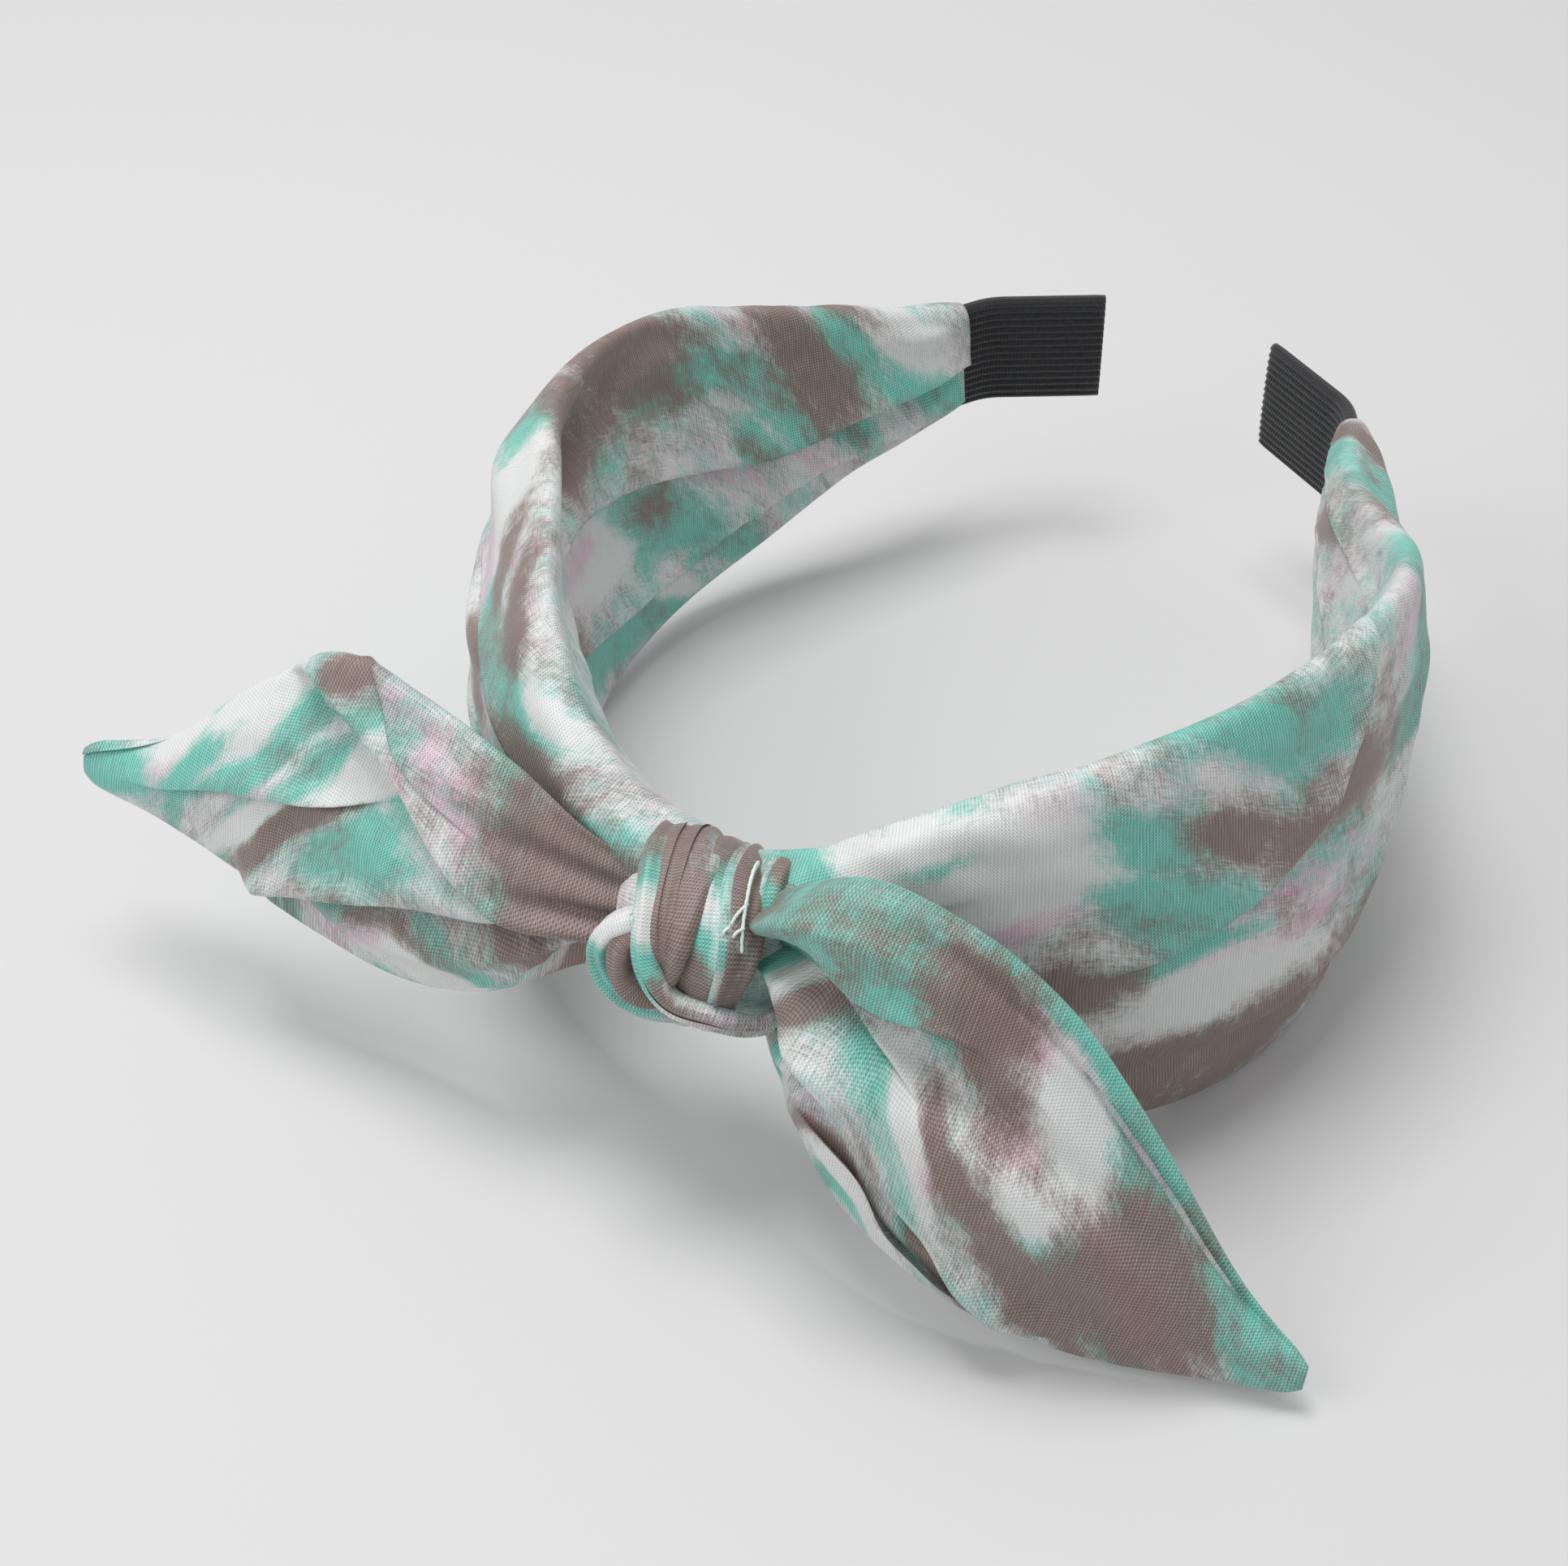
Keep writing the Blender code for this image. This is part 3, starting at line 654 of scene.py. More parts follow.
LEFT_DYES = (
    (BROWN, 10, 0.42, 8, 5, 20), (DUSK, 14, 0.36, 8, 3, 15), (TEAL, 30, 0.42, 10, 3, 20),
    (WHITE, 24, 0.46, 6, 2, 20), (BROWN, 24, 0.38, 8, 3, 20), (TEAL, 46, 0.38, 10, 4, 20),
    (BROWN, 40, 0.46, 10, 3, 20), (BROWN, 58, 0.46, 10, 4, 25), (WHITE, 70, 0.46, 9, 5, 0),
    (PINK, 64, 0.40, 8, 3, 10), (BROWN, 50, 0.32, 8, 4, 20), (TEAL, 80, 0.48, 6, 4, 0),
    (BROWN, 90, 0.56, 12, 10, 0), (BROWN, 110, 0.55, 13, 8, 0), (TEAL, 124, 0.60, 16, 2.5, -30), (BROWN, 138, 0.57, 9, 7, 60),
    (BROWN, 152, 0.52, 14, 3, 0), (WHITE, 158, 0.60, 7, 4, 0), (TEAL, 149, 0.58, 4, 3, 0),
    (DUSK, 146, 0.64, 5, 3, 0), (TEAL, 160, 0.76, 10, 5, 0), (TEAL, 142, 0.77, 8, 4, 0),
    (DUSK, 132, 0.75, 5, 3, 0), (PINK, 118, 0.73, 8, 2.5, -10), (DUSK, 112, 0.78, 10, 4, 0),
    (WHITE, 96, 0.79, 8, 5, 0), (PINK, 92, 0.76, 6, 3, 0), (TEAL, 116, 0.83, 8, 3, -20),
    (TEAL, 100, 0.91, 14, 5, 0), (WHITE, 116, 0.93, 5, 2, 0), (DUSK, 128, 0.90, 8, 4, 0),
    (BROWN, 76, 0.84, 8, 9, 0), (TEAL, 66, 0.94, 8, 5, 0), (DUSK, 90, 0.20, 18, 8, 10),
)


def build_cover():
    right = build_sleeve("right", 1, RIGHT_SHAPE, RIGHT_PLEATS, RIGHT_DYES)
    build_sleeve("left", -1, LEFT_SHAPE, LEFT_PLEATS, LEFT_DYES, (LEFT_VALLEY, LEFT_SHOULDER))
    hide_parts("cover_crown")


# ---------------------------------------------------------------- tape


def build_tape(label, side):
    """A pocket of ribbed tape over the core's end: ribs along its length, closed and stitched flat at the end."""
    ds = np.concatenate([np.arange(163, BEND_START - 1, 0.8), np.arange(BEND_START - 1, BEND_END + 1, 0.3),
                         np.arange(BEND_END + 1, CORE_END + 1.2, 0.8)])
    ribs, rib_height = 15, 0.14
    turn = np.linspace(0, 2 * np.pi, 360, endpoint=False)[None, :]
    half_width = 8.8
    flat = np.sign(np.cos(turn)) * np.abs(np.cos(turn)) ** 0.9
    height = half_width * flat
    rib = rib_height * np.cos(np.pi * ribs * flat) * np.minimum(1, 4 * np.abs(np.sin(turn)))
    near_end = ease((ds[:, None] - (CORE_END - 1.5)) / 2.7)
    thick = (1.15 - 0.3 * near_end) * np.abs(np.sin(turn)) ** 0.35
    out = np.where(turn < np.pi, thick + rib, -thick - rib)
    x, y, a = (v[:, None] for v in heading(ds))
    grid = np.stack([side * (x + out * np.sin(a)), y - out * np.cos(a), MID + height + 0 * x], -1)
    round_mm = np.tile(np.linspace(0, 42, 361), (len(ds), 1))
    tape = tube_mesh(f"end_tape_{label}_ribbed", grid, ds, round_mm, None, TAPE, 0.0)
    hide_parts(f"end_tape_{label}")
    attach(tape, f"arm_{label}")


# ---------------------------------------------------------------- the knot's place, from the frame

# The knot is drawn towards the right arm, and its strips lie on a core inside the CAD knot.
KNOT_SHIFT = 3.0
STRIP_DEPTH = 1.2
TURN_LOW, TURN_HIGH = corner_mm("knot_turn", 0), corner_mm("knot_turn", 1)
WRAP_LOW, WRAP_HIGH = corner_mm("knot_wrap", 0), corner_mm("knot_wrap", 1)
KNOT = np.array([KNOT_SHIFT, (WRAP_LOW[1] + TURN_HIGH[1]) / 2, MID + 0.4])
KNOT_SIZE = np.array([
    TURN_HIGH[0] + 1.5, (TURN_HIGH[1] - WRAP_LOW[1]) / 2 - STRIP_DEPTH, (WRAP_HIGH[2] - WRAP_LOW[2]) / 2 - 0.3,
])


# ---------------------------------------------------------------- tails


TIP_ROUNDS_FROM = 0.965


def leaf_sections(side, leaf, us, points=120):
    """Closed flat sections of a tail: down its front from the upper edge to the lower one, and up its back.

    leaf["stations"]: stops (u, forward and height of the upper edge, forward and height of the lower edge,
    bulge to the front, thickness). Forward is measured from the knot's middle, and height from the table.
    The tail runs sideways from inside the knot to the tip of the CAD tail.
    """
    tip = corner_mm(f"tail_{leaf['label']}_front", 1 if side > 0 else 0)[0] - side * leaf["tip_inset"]
    upper_y, upper_z, lower_y, lower_z, bulge, thick = through(leaf["stations"], us).T
    x = leaf["root"] + (tip - leaf["root"]) * us ** leaf["pace"]
    upper = np.stack([x, KNOT[1] - upper_y, upper_z], -1)[:, None, :]
    lower_x = x - side * leaf["lag"] * np.sin(np.pi * us)
    lower = np.stack([lower_x, KNOT[1] - lower_y, lower_z], -1)[:, None, :]
    middle = (upper + lower) / 2
    rounding = np.sqrt(np.clip(1 - (np.clip(us - TIP_ROUNDS_FROM, 0, 1) / (1.01 - TIP_ROUNDS_FROM)) ** 2, 0, 1))
    upper = middle + (upper - middle) * rounding[:, None, None]
    lower = middle + (lower - middle) * rounding[:, None, None]
    across = lower - upper
    forward = np.gradient(middle[:, 0], axis=0)[:, None, :]
    normal = np.cross(forward, across)
    normal /= np.linalg.norm(normal, axis=2, keepdims=True)
    normal *= -np.sign(normal[len(us) // 2, 0, 1])
    turn = np.linspace(0, 2 * np.pi, points, endpoint=False)[None, :, None]
    v = (1 - np.cos(turn)) / 2
    body = np.abs(np.sin(turn)) ** 0.8 * thick[:, None, None] / 2
    out = bulge[:, None, None] * 4 * v * (1 - v) + np.where(turn < np.pi, body, -body)
    return upper + across * v + normal * out


RIGHT_LEAF = {
    "label": "right", "root": 5, "pace": 0.88, "lag": 4, "tip_inset": 4,
    "stations": (
        (0.00, -4, 35, -3, 26, 0, 2),
        (0.10, 0, 43, 4, 19.5, 0.5, 2.5),
        (0.22, 1.5, 51, 10, 12, 3, 3),
        (0.36, 0.5, 49, 13.5, 7, 4, 2.6),
        (0.52, 0, 42, 14.5, 3.2, 4, 2.4),
        (0.70, 0, 26, 12.5, 1.8, 3, 2.2),
        (0.86, 1.5, 12, 8.5, 1.6, 1.5, 2),
        (1.00, 4, 6.5, 5, 2.2, 0, 1.4),
    ),
}
LEFT_LEAF = {
    "label": "left", "root": 0, "pace": 0.95, "lag": -1.5, "tip_inset": 1,
    "stations": (
        (0.00, -3, 35, -2, 26, 0, 2),
        (0.12, 1, 41, 4, 22, 0.5, 3),
        (0.25, 0, 46.5, 7, 14, 3, 3),
        (0.42, -2, 50, 8, 10.5, 4, 2.6),
        (0.55, -3, 50.5, 8, 12.5, 4, 2.4),
        (0.70, -1, 43, 8, 18, 3, 2.2),
        (0.86, 3, 31, 8, 21.5, 1.5, 2),
        (1.00, 7.5, 29.5, 8.5, 24.0, 0, 1.8),
    ),
}

# Shares round a tail: 0 is the upper edge, 0.5 the lower edge, and the front is between them.
RIGHT_TAIL_PLEATS = (
    Pleat(
        ((0, 0.12), (0.15, 0.11), (0.25, 0.16), (0.40, 0.13), (1, 0.12)),
        ((0, 0.2), (0.09, 1.2), (0.2, 4.5), (0.28, 4.5), (0.46, 0), (1, 0)), 1, depth=7, front=7, back=6, sink=0.5,
    ),
    Pleat(((0, 0.15), (0.20, 0.16), (0.30, 0.20), (1, 0.22)), ((0, 0.3), (0.2, 3), (0.42, 0), (1, 0)), 1, depth=4, back=3),
    Pleat(
        ((0, 0.28), (0.15, 0.24), (0.30, 0.32), (0.60, 0.46), (1, 0.48)),
        ((0, 0.2), (0.09, 2), (0.2, 5), (0.45, 5), (0.66, 0), (1, 0)), 1, depth=8, front=6, back=5, sink=0.5,
    ),
    Pleat(
        ((0, 0.43), (0.30, 0.39), (0.50, 0.47), (1, 0.49)),
        ((0, 0), (0.16, 0), (0.3, 2.2), (0.45, 2.5), (0.56, 0), (1, 0)), -1, depth=2, front=2, back=1.5,
    ),
)
RIGHT_TAIL_RIDGES = (
    Ridge(((0, 0.14), (0.3, 0.17), (1, 0.2)), ((0, 0), (0.07, -2.4), (0.2, -1.4), (0.32, 0), (1, 0)), ((0, 1.6), (1, 4))),
    Ridge(((0, 0.27), (0.3, 0.25), (1, 0.3)), ((0, 0), (0.09, -2.2), (0.2, -1.2), (0.3, 0), (1, 0)), ((0, 1.6), (1, 4))),
    Ridge(((0, 0.05), (1, 0.1)), ((0, 0), (0.18, 2.6), (0.5, 0), (1, 0)), ((0, 4), (1, 6))),
    Ridge(((0, 0.21), (0.4, 0.27), (1, 0.3)), ((0, 0), (0.2, 2.2), (0.45, 2.2), (0.85, 0), (1, 0)), ((0, 4), (1, 7))),
    Ridge(((0, 0.2), (1, 0.17)), ((0, 0), (0.48, -1.8), (0.8, 0), (1, 0)), ((0, 3), (1, 5))),
    Ridge(((0, 0.035), (1, 0.05)), ((0, 0), (0.28, 0), (0.36, -0.7), (0.95, -0.6), (1, 0)), ((0, 0.7), (1, 0.7))),
)
LEFT_TAIL_PLEATS = (
    Pleat(
        ((0, 0.32), (0.12, 0.31), (0.25, 0.24), (0.40, 0.13), (0.55, 0.07), (0.66, 0), (1, 0)),
        ((0, 0.3), (0.12, 4), (0.35, 5), (0.55, 2.5), (0.66, 0), (1, 0)), 1, depth=7.5, front=6, back=7, sink=0.5,
    ),
    Pleat(
        ((0, 0.16), (0.30, 0.14), (0.40, 0.10), (0.50, 0.01), (1, 0)),
        ((0, 0), (0.22, 0), (0.43, 2), (0.53, 0), (1, 0)), 1, depth=2.2, front=3, back=1.5,
    ),
    Pleat(
        ((0, 0.40), (0.20, 0.30), (0.35, 0.31), (0.55, 0.39), (0.70, 0.47), (1, 0.48)),
        ((0, 0.3), (0.2, 3.5), (0.4, 5), (0.56, 4), (0.7, 0), (1, 0)), 1, depth=9, front=6, back=9, sink=0.5,
    ),
    Pleat(
        ((0, 0.13), (0.35, 0.13), (0.50, 0.22), (0.75, 0.27), (1, 0.30)),
        ((0, 0), (0.36, 0), (0.6, 2.2), (0.94, 0), (1, 0)), 1, depth=3, front=5, back=2,
    ),
    Pleat(
        ((0, 0.02), (0.84, 0.02), (1, 0.12)), ((0, 0), (0.84, 0), (0.94, 0.8), (1, 0.8)), 1, depth=1.6, front=1.5, back=1.5,
    ),
)
LEFT_TAIL_RIDGES = (
    Ridge(((0, 0.10), (0.3, 0.08), (1, 0.1)), ((0, 0), (0.16, -2.2), (0.26, -1), (0.4, 0), (1, 0)), ((0, 1.6), (1, 4))),
    Ridge(((0, 0.22), (0.3, 0.17), (1, 0.2)), ((0, 0), (0.16, -1.8), (0.26, -1), (0.4, 0), (1, 0)), ((0, 1.6), (1, 4))),
    Ridge(((0, 0.16), (1, 0.1)), ((0, 0), (0.2, 1.8), (0.55, 0), (1, 0)), ((0, 6), (1, 8))),
    Ridge(((0, 0.42), (0.2, 0.40), (1, 0.47)), ((0, 0), (0.22, 1.8), (0.7, 0), (1, 0)), ((0, 2), (1, 5))),
    Ridge(((0, 0.12), (1, 0.12)), ((0, 0), (0.6, 0), (0.8, 1.2), (1, 0)), ((0, 5), (1, 5))),
)


def knot_gathers(shares, reach, height=1.3):
    """Fine puckers where a tail leaves the knot, as alternate crests and valleys. reach is a share of its length."""
    made = []
    for k, where in enumerate(shares):
        rise = height if k % 2 else -height
        fade = reach * (0.6 + 0.25 * ((k * 3) % 4))
        line = ((0, where), (1, where + 0.015 * (((k * 7) % 5) - 2)))
        made.append(Ridge(line, ((0, 0), (fade * 0.4, rise), (fade, 0), (1, 0)), ((0, 1.0), (1, 3.0))))
    return made


def build_tail(side, leaf, pleats, ridges, dyes):
    us = np.linspace(0, 1, 170)
    sections = leaf_sections(side, leaf, us)
    run = np.linalg.norm(np.diff(sections.mean(1), axis=0), axis=1)
    along = np.concatenate([[0], np.cumsum(run)])
    label = leaf["label"]
    tail = cloth_tube(
        f"tail_{label}_leaf", sections, us, along, pleats, ridges, dyes, columns=320, seed=30.0 * side, roundness=0.35
    )
    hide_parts(f"tail_{label}_front", f"tail_{label}_back", f"tail_{label}_seam")
    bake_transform(tail)


RIGHT_TAIL_DYES = (
    (DUSK, 0.14, 0.05, 12, 8, 0), (TEAL, 0.27, 0.07, 9, 6, 10), (BROWN, 0.44, 0.06, 7, 4, 20),
    (BROWN, 0.48, 0.14, 9, 6, 20), (TEAL, 0.29, 0.14, 8, 3, 0), (WHITE, 0.57, 0.12, 7, 5, 0),
    (PINK, 0.52, 0.19, 4, 3, 0), (PINK, 0.50, 0.08, 4, 2, 0), (TEAL, 0.68, 0.10, 6, 4.5, 0),
    (TEAL, 0.68, 0.015, 30, 1.4, 0), (TEAL, 0.12, 0.16, 8, 3, 0), (BROWN, 0.20, 0.20, 4, 2, 0),
    (TEAL, 0.30, 0.20, 6, 3, 0), (WHITE, 0.36, 0.22, 4, 2.5, 0), (BROWN, 0.28, 0.26, 5, 4, 0),
    (DUSK, 0.36, 0.33, 6, 3, 0), (BROWN, 0.44, 0.26, 4, 3, 0), (BROWN, 0.42, 0.34, 8, 3.5, 0),
    (PINK, 0.46, 0.30, 4, 1.5, -20), (WHITE, 0.56, 0.25, 4, 3, 0), (TEAL, 0.60, 0.28, 6, 2, -30),
    (BROWN, 0.58, 0.36, 9, 4, 0), (BROWN, 0.76, 0.24, 9, 7, -10), (BROWN, 0.66, 0.32, 9, 5, 0),
    (TEAL, 0.86, 0.16, 6, 3, 0), (TEAL, 0.92, 0.26, 7, 4, 0), (DUSK, 0.99, 0.20, 4, 5, 0),
    (PINK, 0.80, 0.40, 8, 2, 0), (TEAL, 0.72, 0.42, 9, 2, 0), (PINK, 0.78, 0.44, 6, 1.5, 0),
    (TEAL, 0.14, 0.36, 6, 3, 0), (PINK, 0.22, 0.37, 4, 2, 0), (BROWN, 0.26, 0.40, 6, 2, 20),
    (WHITE, 0.34, 0.44, 6, 3, 0), (TEAL, 0.28, 0.45, 5, 2, 0), (BROWN, 0.46, 0.45, 8, 2, 0),
    (DUSK, 0.30, 0.75, 12, 9, 20), (PINK, 0.60, 0.75, 9, 5, 0),
)
LEFT_TAIL_DYES = (
    (BROWN, 0.13, 0.12, 9, 7, 10), (BROWN, 0.12, 0.26, 8, 5, 20), (PINK, 0.28, 0.11, 6, 4, -10),
    (DUSK, 0.24, 0.20, 6, 3, 20), (WHITE, 0.38, 0.12, 9, 4, 0), (TEAL, 0.36, 0.16, 5, 2, 0),
    (PINK, 0.45, 0.04, 6, 3, 0), (WHITE, 0.46, 0.12, 6, 3, 30), (BROWN, 0.53, 0.03, 3, 2, 0),
    (DUSK, 0.49, 0.09, 6, 1.5, 30), (DUSK, 0.61, 0.09, 4.5, 4, 0), (WHITE, 0.70, 0.06, 6, 3, 0),
    (WHITE, 0.68, 0.12, 5, 3, 0), (TEAL, 0.62, 0.15, 5, 3, 0), (TEAL, 0.74, 0.14, 6, 3, 0),
    (DUSK, 0.54, 0.18, 5, 4, 20), (WHITE, 0.83, 0.12, 5, 3, 0), (TEAL, 0.92, 0.22, 5, 3, 0), (PINK, 0.84, 0.18, 5, 2, 0),
    (TEAL, 0.97, 0.14, 4, 4, 0), (PINK, 0.78, 0.24, 6, 2, 0), (TEAL, 0.70, 0.24, 6, 2, 0),
    (BROWN, 0.56, 0.25, 6, 2.5, 0), (TEAL, 0.46, 0.26, 7, 4, 10), (WHITE, 0.66, 0.32, 5, 2, 0),
    (BROWN, 0.64, 0.36, 5, 2.5, 0), (TEAL, 0.46, 0.31, 7, 2, 0), (BROWN, 0.18, 0.42, 9, 4, 10),
    (DUSK, 0.30, 0.42, 5, 3, 0), (BROWN, 0.40, 0.38, 7, 2, 0), (WHITE, 0.34, 0.46, 7, 4, 0),
    (PINK, 0.46, 0.42, 5, 2, 0), (TEAL, 0.54, 0.43, 6, 3, 0), (TEAL, 0.62, 0.46, 5, 2.5, 0),
    (DUSK, 0.35, 0.75, 12, 9, 0), (TEAL, 0.70, 0.75, 8, 5, 0),
)


def build_tails():
    front_shares = (0.03, 0.08, 0.12, 0.19, 0.22, 0.27, 0.31, 0.38, 0.43)
    right_ridges = (*RIGHT_TAIL_RIDGES, *knot_gathers(front_shares, 0.3))
    left_ridges = (*LEFT_TAIL_RIDGES, *knot_gathers(front_shares, 0.4))
    build_tail(1, RIGHT_LEAF, RIGHT_TAIL_PLEATS, right_ridges, RIGHT_TAIL_DYES)
    build_tail(-1, LEFT_LEAF, LEFT_TAIL_PLEATS, left_ridges, LEFT_TAIL_DYES)


# ---------------------------------------------------------------- knot


def knot_surface(x, turn_deg, lift):
    """Points and outward normals on the knot, turn_deg round the band from the top edge towards the front."""
    turn = np.radians(turn_deg)
    part = np.clip(np.abs(x - KNOT[0]) / KNOT_SIZE[0], 0, 0.97)
    pull = (1 - part**3) ** (1 / 3)
    around = np.stack([0 * x, -np.sin(turn), np.cos(turn)], -1)
    point = KNOT + around * (KNOT_SIZE * pull[:, None] + lift[:, None])
    point[:, 0] = x
    normal = around / KNOT_SIZE
    normal[:, 0] = np.sign(x - KNOT[0]) * part**2 / pull / KNOT_SIZE[0]
    return point, normal / np.linalg.norm(normal, axis=-1, keepdims=True)


def strip_sections(path, us, fullness=0.6, points=90, hug=12.0):
    """Closed pillow sections of a strip laid on the knot.

    path: stops (u, x, turn in degrees, width, thickness, lift). hug is the radius that wide strips wrap to.
    """
    x, turn, width, thick, lift = through(path, us).T
    centre, normal = knot_surface(x, turn, lift)
    tangent = np.gradient(centre, axis=0)
    tangent /= np.linalg.norm(tangent, axis=1, keepdims=True)
    across = np.cross(normal, tangent)
    across /= np.linalg.norm(across, axis=1, keepdims=True)
    angle = np.linspace(0, 2 * np.pi, points, endpoint=False)[None, :]
    b = width[:, None] / 2 * -np.cos(angle)
    n = thick[:, None] / 2 * np.sign(np.sin(angle)) * np.abs(np.sin(angle)) ** fullness - b**2 / (2 * hug)
    return centre[:, None] + across[:, None] * b[..., None] + normal[:, None] * n[..., None]


def strip_creases(seed, count=9, height=0.42):
    """Fine lengthwise creases pressed into a tight strip, each fading in and out along it."""
    rng = np.random.default_rng(seed)
    made = []
    for k in range(count):
        share, drift = rng.uniform(0.04, 0.46), rng.uniform(-0.06, 0.06)
        start, reach = rng.uniform(-0.2, 0.7), rng.uniform(0.3, 0.7)
        tall = height * rng.uniform(0.6, 1.2) * (1 if k % 3 else -1.3)
        rise = ((-1, 0), (start, 0), (start + reach / 2, tall), (start + reach, 0), (2.5, 0))
        made.append(Ridge(((-1, share), (2.5, share + 3.5 * drift)), rise, ((0, 0.55), (1, 0.55))))
    return made


def build_strip(name, path, pleats=(), dyes=(), seed=50.0, columns=200, rows=130, nodes=()):
    us = np.linspace(0, 1, rows)
    sections = strip_sections(path, us)
    run = np.linalg.norm(np.diff(sections.mean(1), axis=0), axis=1)
    along = np.concatenate([[0], np.cumsum(run)])
    strip = cloth_tube(
        name, sections, us, along, pleats, strip_creases(int(seed)), dyes,
        columns=columns, seed=seed, roundness=0.3, slack=0.12,
    )
    if nodes:
        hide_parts(*nodes)
    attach(strip, "crown")


# Paths over the knot: stops (u, x, turn, width, thickness, lift).
UNDER_TURN_PATH = ((0.00, 3, -185, 22, 3, -2), (0.50, 3, -10, 23, 3, -2), (1.00, 3, 175, 21, 3, -2))
WRAP_PATH = (
    (0.00, 2.0, -190, 13.0, 3.0, -0.8),
    (0.20, 1.5, -100, 13.5, 3.0, -0.4),
    (0.52, 4.8, 0, 13.4, 3.0, -0.5),
    (0.76, 8.0, 54, 11.6, 3.2, 0.0),
    (0.92, 7.2, 90, 8.4, 2.6, -1.2),
    (1.00, 6.6, 112, 7.4, 2.2, -3.4),
)
WRAP_PLEATS = (
    Pleat(((0, 0.36), (0.55, 0.33), (0.85, 0.38), (1, 0.38)), ((0, 1.5), (1, 1.5)), -1, depth=1.6, front=2.2, back=1.2),
    Pleat(((0, 0.31), (0.55, 0.29), (0.85, 0.34), (1, 0.34)), ((0, 1), (1, 1)), -1, depth=1, front=1.2, back=1.2),
)
FIRST_PLEAT_PATH = (
    (0.00, -2.0, -80, 8.5, 2.2, -0.4),
    (0.22, -1.0, -34, 8.8, 2.4, 0.1),
    (0.50, 2.2, 20, 8.4, 2.6, 0.9),
    (0.80, 3.8, 56, 5.6, 2.6, 1.5),
    (1.00, 3.6, 82, 1.8, 1.5, 0.7),
)
FIRST_PLEAT_FOLDS = (
    Pleat(((0, 0.17), (1, 0.2)), ((0, 1.2), (0.6, 1), (0.85, 0), (1, 0)), 1, depth=1, front=1.2, back=1),
    Pleat(((0, 0.28), (1, 0.3)), ((0, 1.2), (0.4, 1), (0.7, 0), (1, 0)), 1, depth=0.9, front=1.2, back=1),
)
LEFT_STRIP_PATH = (
    (0.00, -5.6, -80, 4.0, 2.4, -0.2),
    (0.32, -3.2, 0, 3.9, 2.6, 0.6),
    (0.52, 0.0, 40, 3.4, 2.6, 1.5),
    (0.70, 2.4, 74, 3.2, 2.7, 1.6),
    (0.80, 5.5, 87, 3.2, 2.7, 1.4),
    (0.90, 11.0, 93, 3.0, 2.4, 0.6),
    (1.00, 15.6, 112, 2.6, 2.0, -1.0),
)
LEFT_STRIP_PLEATS = (
    Pleat(((0, 0.2), (1, 0.2)), ((0, 0), (0.66, 0), (0.78, 1), (1, 1)), 1, depth=0.8, front=1, back=0.9),
)
TOP_TURN_PATH = (
    (0.00, 6.0, -150, 7.0, 2.6, -0.6),
    (0.40, 10.0, -70, 7.0, 2.6, -0.4),
    (0.75, 12.4, -10, 5.5, 2.8, 0.9),
    (1.00, 13.6, 24, 3.6, 2.0, -2.4),
)


def roll_path(ends_x, reach, middle_turn, half_turn, width, lift):
    """A roll at the knot's lower left: half an ellipse over its surface, with both ends tucked in."""
    stops = []
    for k in range(9):
        swing = math.pi * k / 8
        out = math.sin(swing)
        x = ends_x - reach * out
        turn = middle_turn - half_turn * math.cos(swing)
        stops.append((k / 8, x, turn, width, width * (0.85 + 0.2 * out), lift - 2.6 * (1 - out) ** 2))
    return tuple(stops)


def thread_strand(name, stops, radius=0.2):
    """A strand of sewing thread over the knot through stops (x, turn, lift)."""
    us = np.linspace(0, 1, 40)
    path = through([(k / (len(stops) - 1), *stop) for k, stop in enumerate(stops)], us)
    centre, normal = knot_surface(*path.T)
    tangent = np.gradient(centre, axis=0)
    tangent /= np.linalg.norm(tangent, axis=1, keepdims=True)
    across = np.cross(normal, tangent)
    across /= np.linalg.norm(across, axis=1, keepdims=True)
    up = np.cross(tangent, across)
    turn = np.linspace(0, 2 * np.pi, 12, endpoint=False)[None, :, None]
    twist = radius * (1 + 0.18 * np.sin(2 * turn + us[:, None, None] * 60))
    grid = centre[:, None] + twist * (across[:, None] * np.cos(turn) + up[:, None] * np.sin(turn))
    round_mm = np.tile(np.linspace(0, 1, 13), (40, 1))
    return tube_mesh(name, grid, us * 10, round_mm, None, THREAD, 0.0)


def build_threads():
    """The tacking stitches: one long strand down the right-hand pleat, with two short forks."""
    strands = (
        ((8.6, -12, 1.2), (9.6, 2, 2.2), (10.7, 18, 2.0), (11.6, 32, 1.9), (12.4, 46, 1.5)),
        ((8.8, -10, 1.2), (9.9, 6, 2.3), (10.9, 20, 2.2), (11.4, 33, 1.3)),
        ((11.0, 20, 1.9), (10.6, 30, 2.3), (10.2, 39, 1.4)),
        ((11.8, 33, 1.9), (11.3, 38, 2.2), (10.9, 43, 1.4)),
        ((10.2, 36, 1.5), (10.0, 39, 1.9), (9.9, 42, 1.2)),
    )
    for k, stops in enumerate(strands):
        strand = thread_strand(f"tack_strand_{k + 1}", stops)
        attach(strand, "crown")
        if k == 0:
            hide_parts("tack_thread")


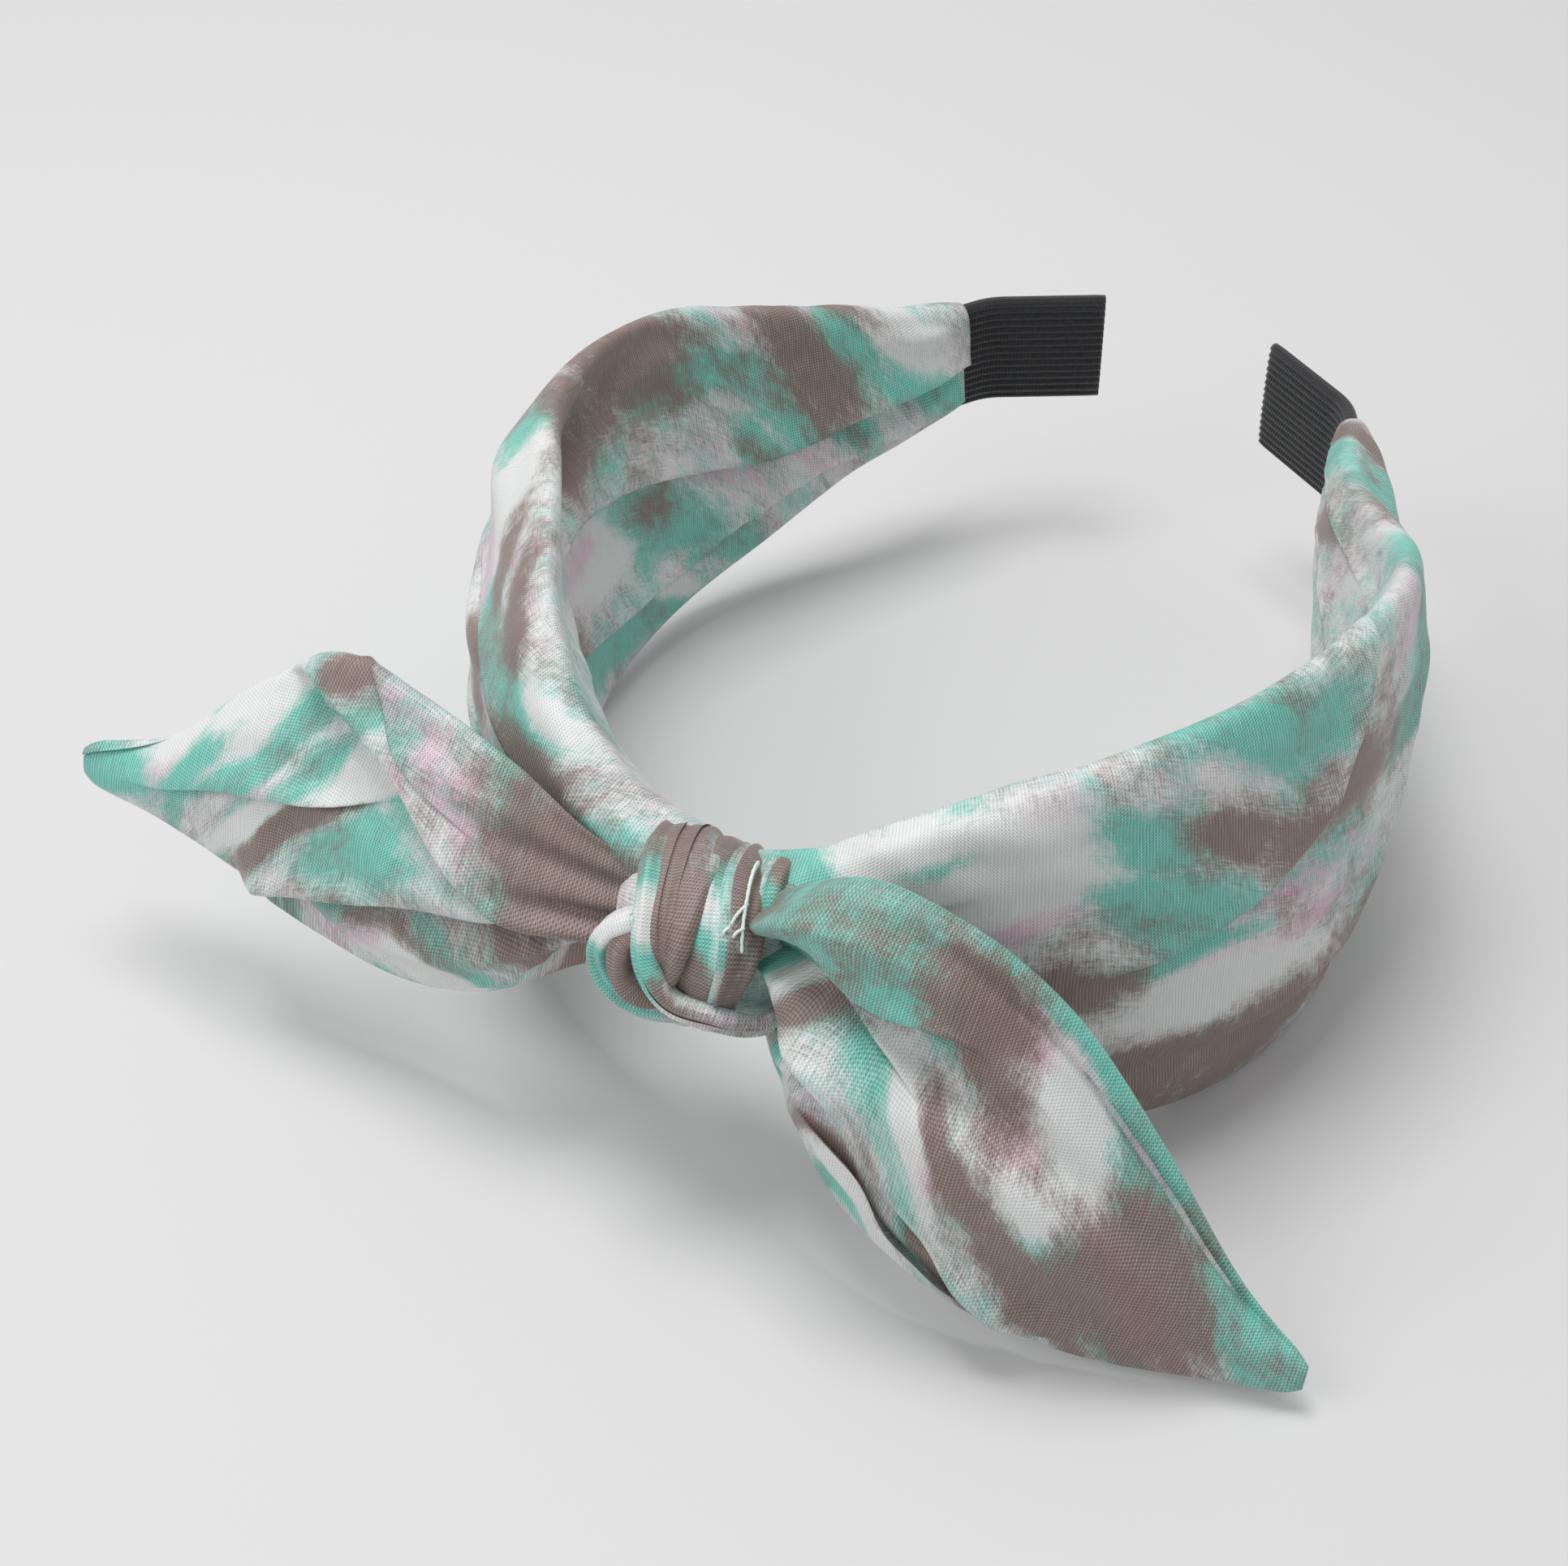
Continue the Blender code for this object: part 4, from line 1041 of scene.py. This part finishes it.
WRAP_DYES = (
    (BROWN, 0.62, 0.44, 14, 3, 0), (BROWN, 0.80, 0.44, 8, 3, 0), (TEAL, 0.52, 0.22, 4, 3, 30),
    (TEAL, 0.68, 0.22, 7, 3, 20), (WHITE, 0.66, 0.26, 6, 1.5, 20), (PINK, 0.58, 0.20, 3, 1.5, 30),
    (BROWN, 0.86, 0.20, 5, 4, 0), (BROWN, 0.42, 0.20, 6, 4, 0),
)
FIRST_PLEAT_DYES = ((BROWN, 0.30, 0.25, 14, 5, 0), (BROWN, 0.70, 0.25, 12, 4, 0), (PINK, 0.50, 0.40, 3, 1, 0))
LEFT_STRIP_DYES = (
    (BROWN, 0.25, 0.20, 6, 2.5, 0), (DUSK, 0.42, 0.25, 4, 2, 0), (WHITE, 0.56, 0.30, 4, 1.5, 0),
    (TEAL, 0.68, 0.25, 4, 2, 0), (BROWN, 0.82, 0.20, 5, 1.5, 0), (PINK, 0.92, 0.25, 4, 2, 0),
)
OUTER_ROLL_DYES = ((WHITE, 0.30, 0.25, 3, 2, 0), (DUSK, 0.12, 0.25, 3, 3, 0), (TEAL, 0.62, 0.25, 4, 2, 0),
                   (PINK, 0.85, 0.25, 5, 2, 0))
INNER_ROLL_DYES = ((BROWN, 0.40, 0.25, 7, 2.5, 0), (BROWN, 0.70, 0.25, 6, 2, 0))
TOP_TURN_DYES = ((TEAL, 0.85, 0.30, 4, 3, 0), (BROWN, 0.70, 0.20, 3, 1.5, 0))


def build_knot():
    outer_roll = roll_path(5, 10, 75, 31, 3.8, 0.8)
    inner_roll = roll_path(3.5, 5.9, 72, 26, 3.1, 1.0)
    build_strip("knot_turn_under", UNDER_TURN_PATH, seed=45.0, nodes=("knot_turn",))
    build_strip(
        "knot_wrap_main", WRAP_PATH, WRAP_PLEATS, WRAP_DYES, seed=50.0, columns=280, rows=240, nodes=("knot_wrap",)
    )
    build_strip("knot_first_pleat", FIRST_PLEAT_PATH, FIRST_PLEAT_FOLDS, FIRST_PLEAT_DYES, seed=55.0)
    build_strip("knot_strip_left", LEFT_STRIP_PATH, LEFT_STRIP_PLEATS, LEFT_STRIP_DYES, seed=60.0)
    build_strip("knot_roll_outer", outer_roll, dyes=OUTER_ROLL_DYES, seed=65.0, nodes=("knot_roll",))
    build_strip("knot_roll_inner", inner_roll, dyes=INNER_ROLL_DYES, seed=70.0)
    build_strip("knot_turn_top", TOP_TURN_PATH, dyes=TOP_TURN_DYES, seed=75.0)
    build_threads()


# ---------------------------------------------------------------- stage


def build_stage():
    bpy.ops.mesh.primitive_plane_add(size=6)
    floor = bpy.context.object
    floor.name = "floor"
    n = Nodes("pale_floor")
    n.feed(n.shader.inputs["Base Color"], linear(218, 217, 217))
    n.feed(n.shader.inputs["Roughness"], 0.6)
    floor.data.materials.append(n.material)

    world = bpy.data.worlds.new("soft_room")
    world.use_nodes = True
    world.node_tree.nodes["Background"].inputs["Color"].default_value = (0.98, 0.99, 1, 1)
    world.node_tree.nodes["Background"].inputs["Strength"].default_value = 0.49
    bpy.context.scene.world = world

    def lamp(name, where, size, power):
        data = bpy.data.lights.new(name, "AREA")
        data.shape = "SQUARE"
        data.size = size
        data.energy = power
        made = bpy.data.objects.new(name, data)
        made.location = where
        made.rotation_euler = (-Vector(where)).to_track_quat("-Z", "Y").to_euler()
        bpy.context.scene.collection.objects.link(made)

    lamp("key_light", (-0.16, 0.06, 0.90), 0.42, 4.6)
    lamp("fill_light", (-0.45, -0.55, 0.60), 0.5, 1.7)


VIEW_AZIMUTH = math.radians(30)
VIEW_ELEVATION = math.radians(40)
VIEW_DISTANCE = 356.0
VIEW_TARGET = Vector((-3.8, -35.0, MID))


def build_camera():
    data = bpy.data.cameras.new("camera")
    data.lens = 64.6
    data.sensor_width = 36
    data.clip_start = 0.01
    camera = bpy.data.objects.new("camera", data)
    bpy.context.scene.collection.objects.link(camera)
    flat = math.cos(VIEW_ELEVATION)
    away = Vector((flat * math.sin(VIEW_AZIMUTH), -flat * math.cos(VIEW_AZIMUTH), math.sin(VIEW_ELEVATION)))
    camera.location = (VIEW_TARGET + away * VIEW_DISTANCE) * MM
    camera.rotation_euler = (-away).to_track_quat("-Z", "Y").to_euler()
    bpy.context.scene.camera = camera


build_cover()
for label, side in (("left", -1), ("right", 1)):
    build_tape(label, side)
build_tails()
build_knot()
for name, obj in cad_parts.items():
    if name.startswith("core"):
        obj.data.materials.clear()
        obj.data.materials.append(PLASTIC)
build_stage()
build_camera()
bpy.context.scene.view_settings.view_transform = "Standard"
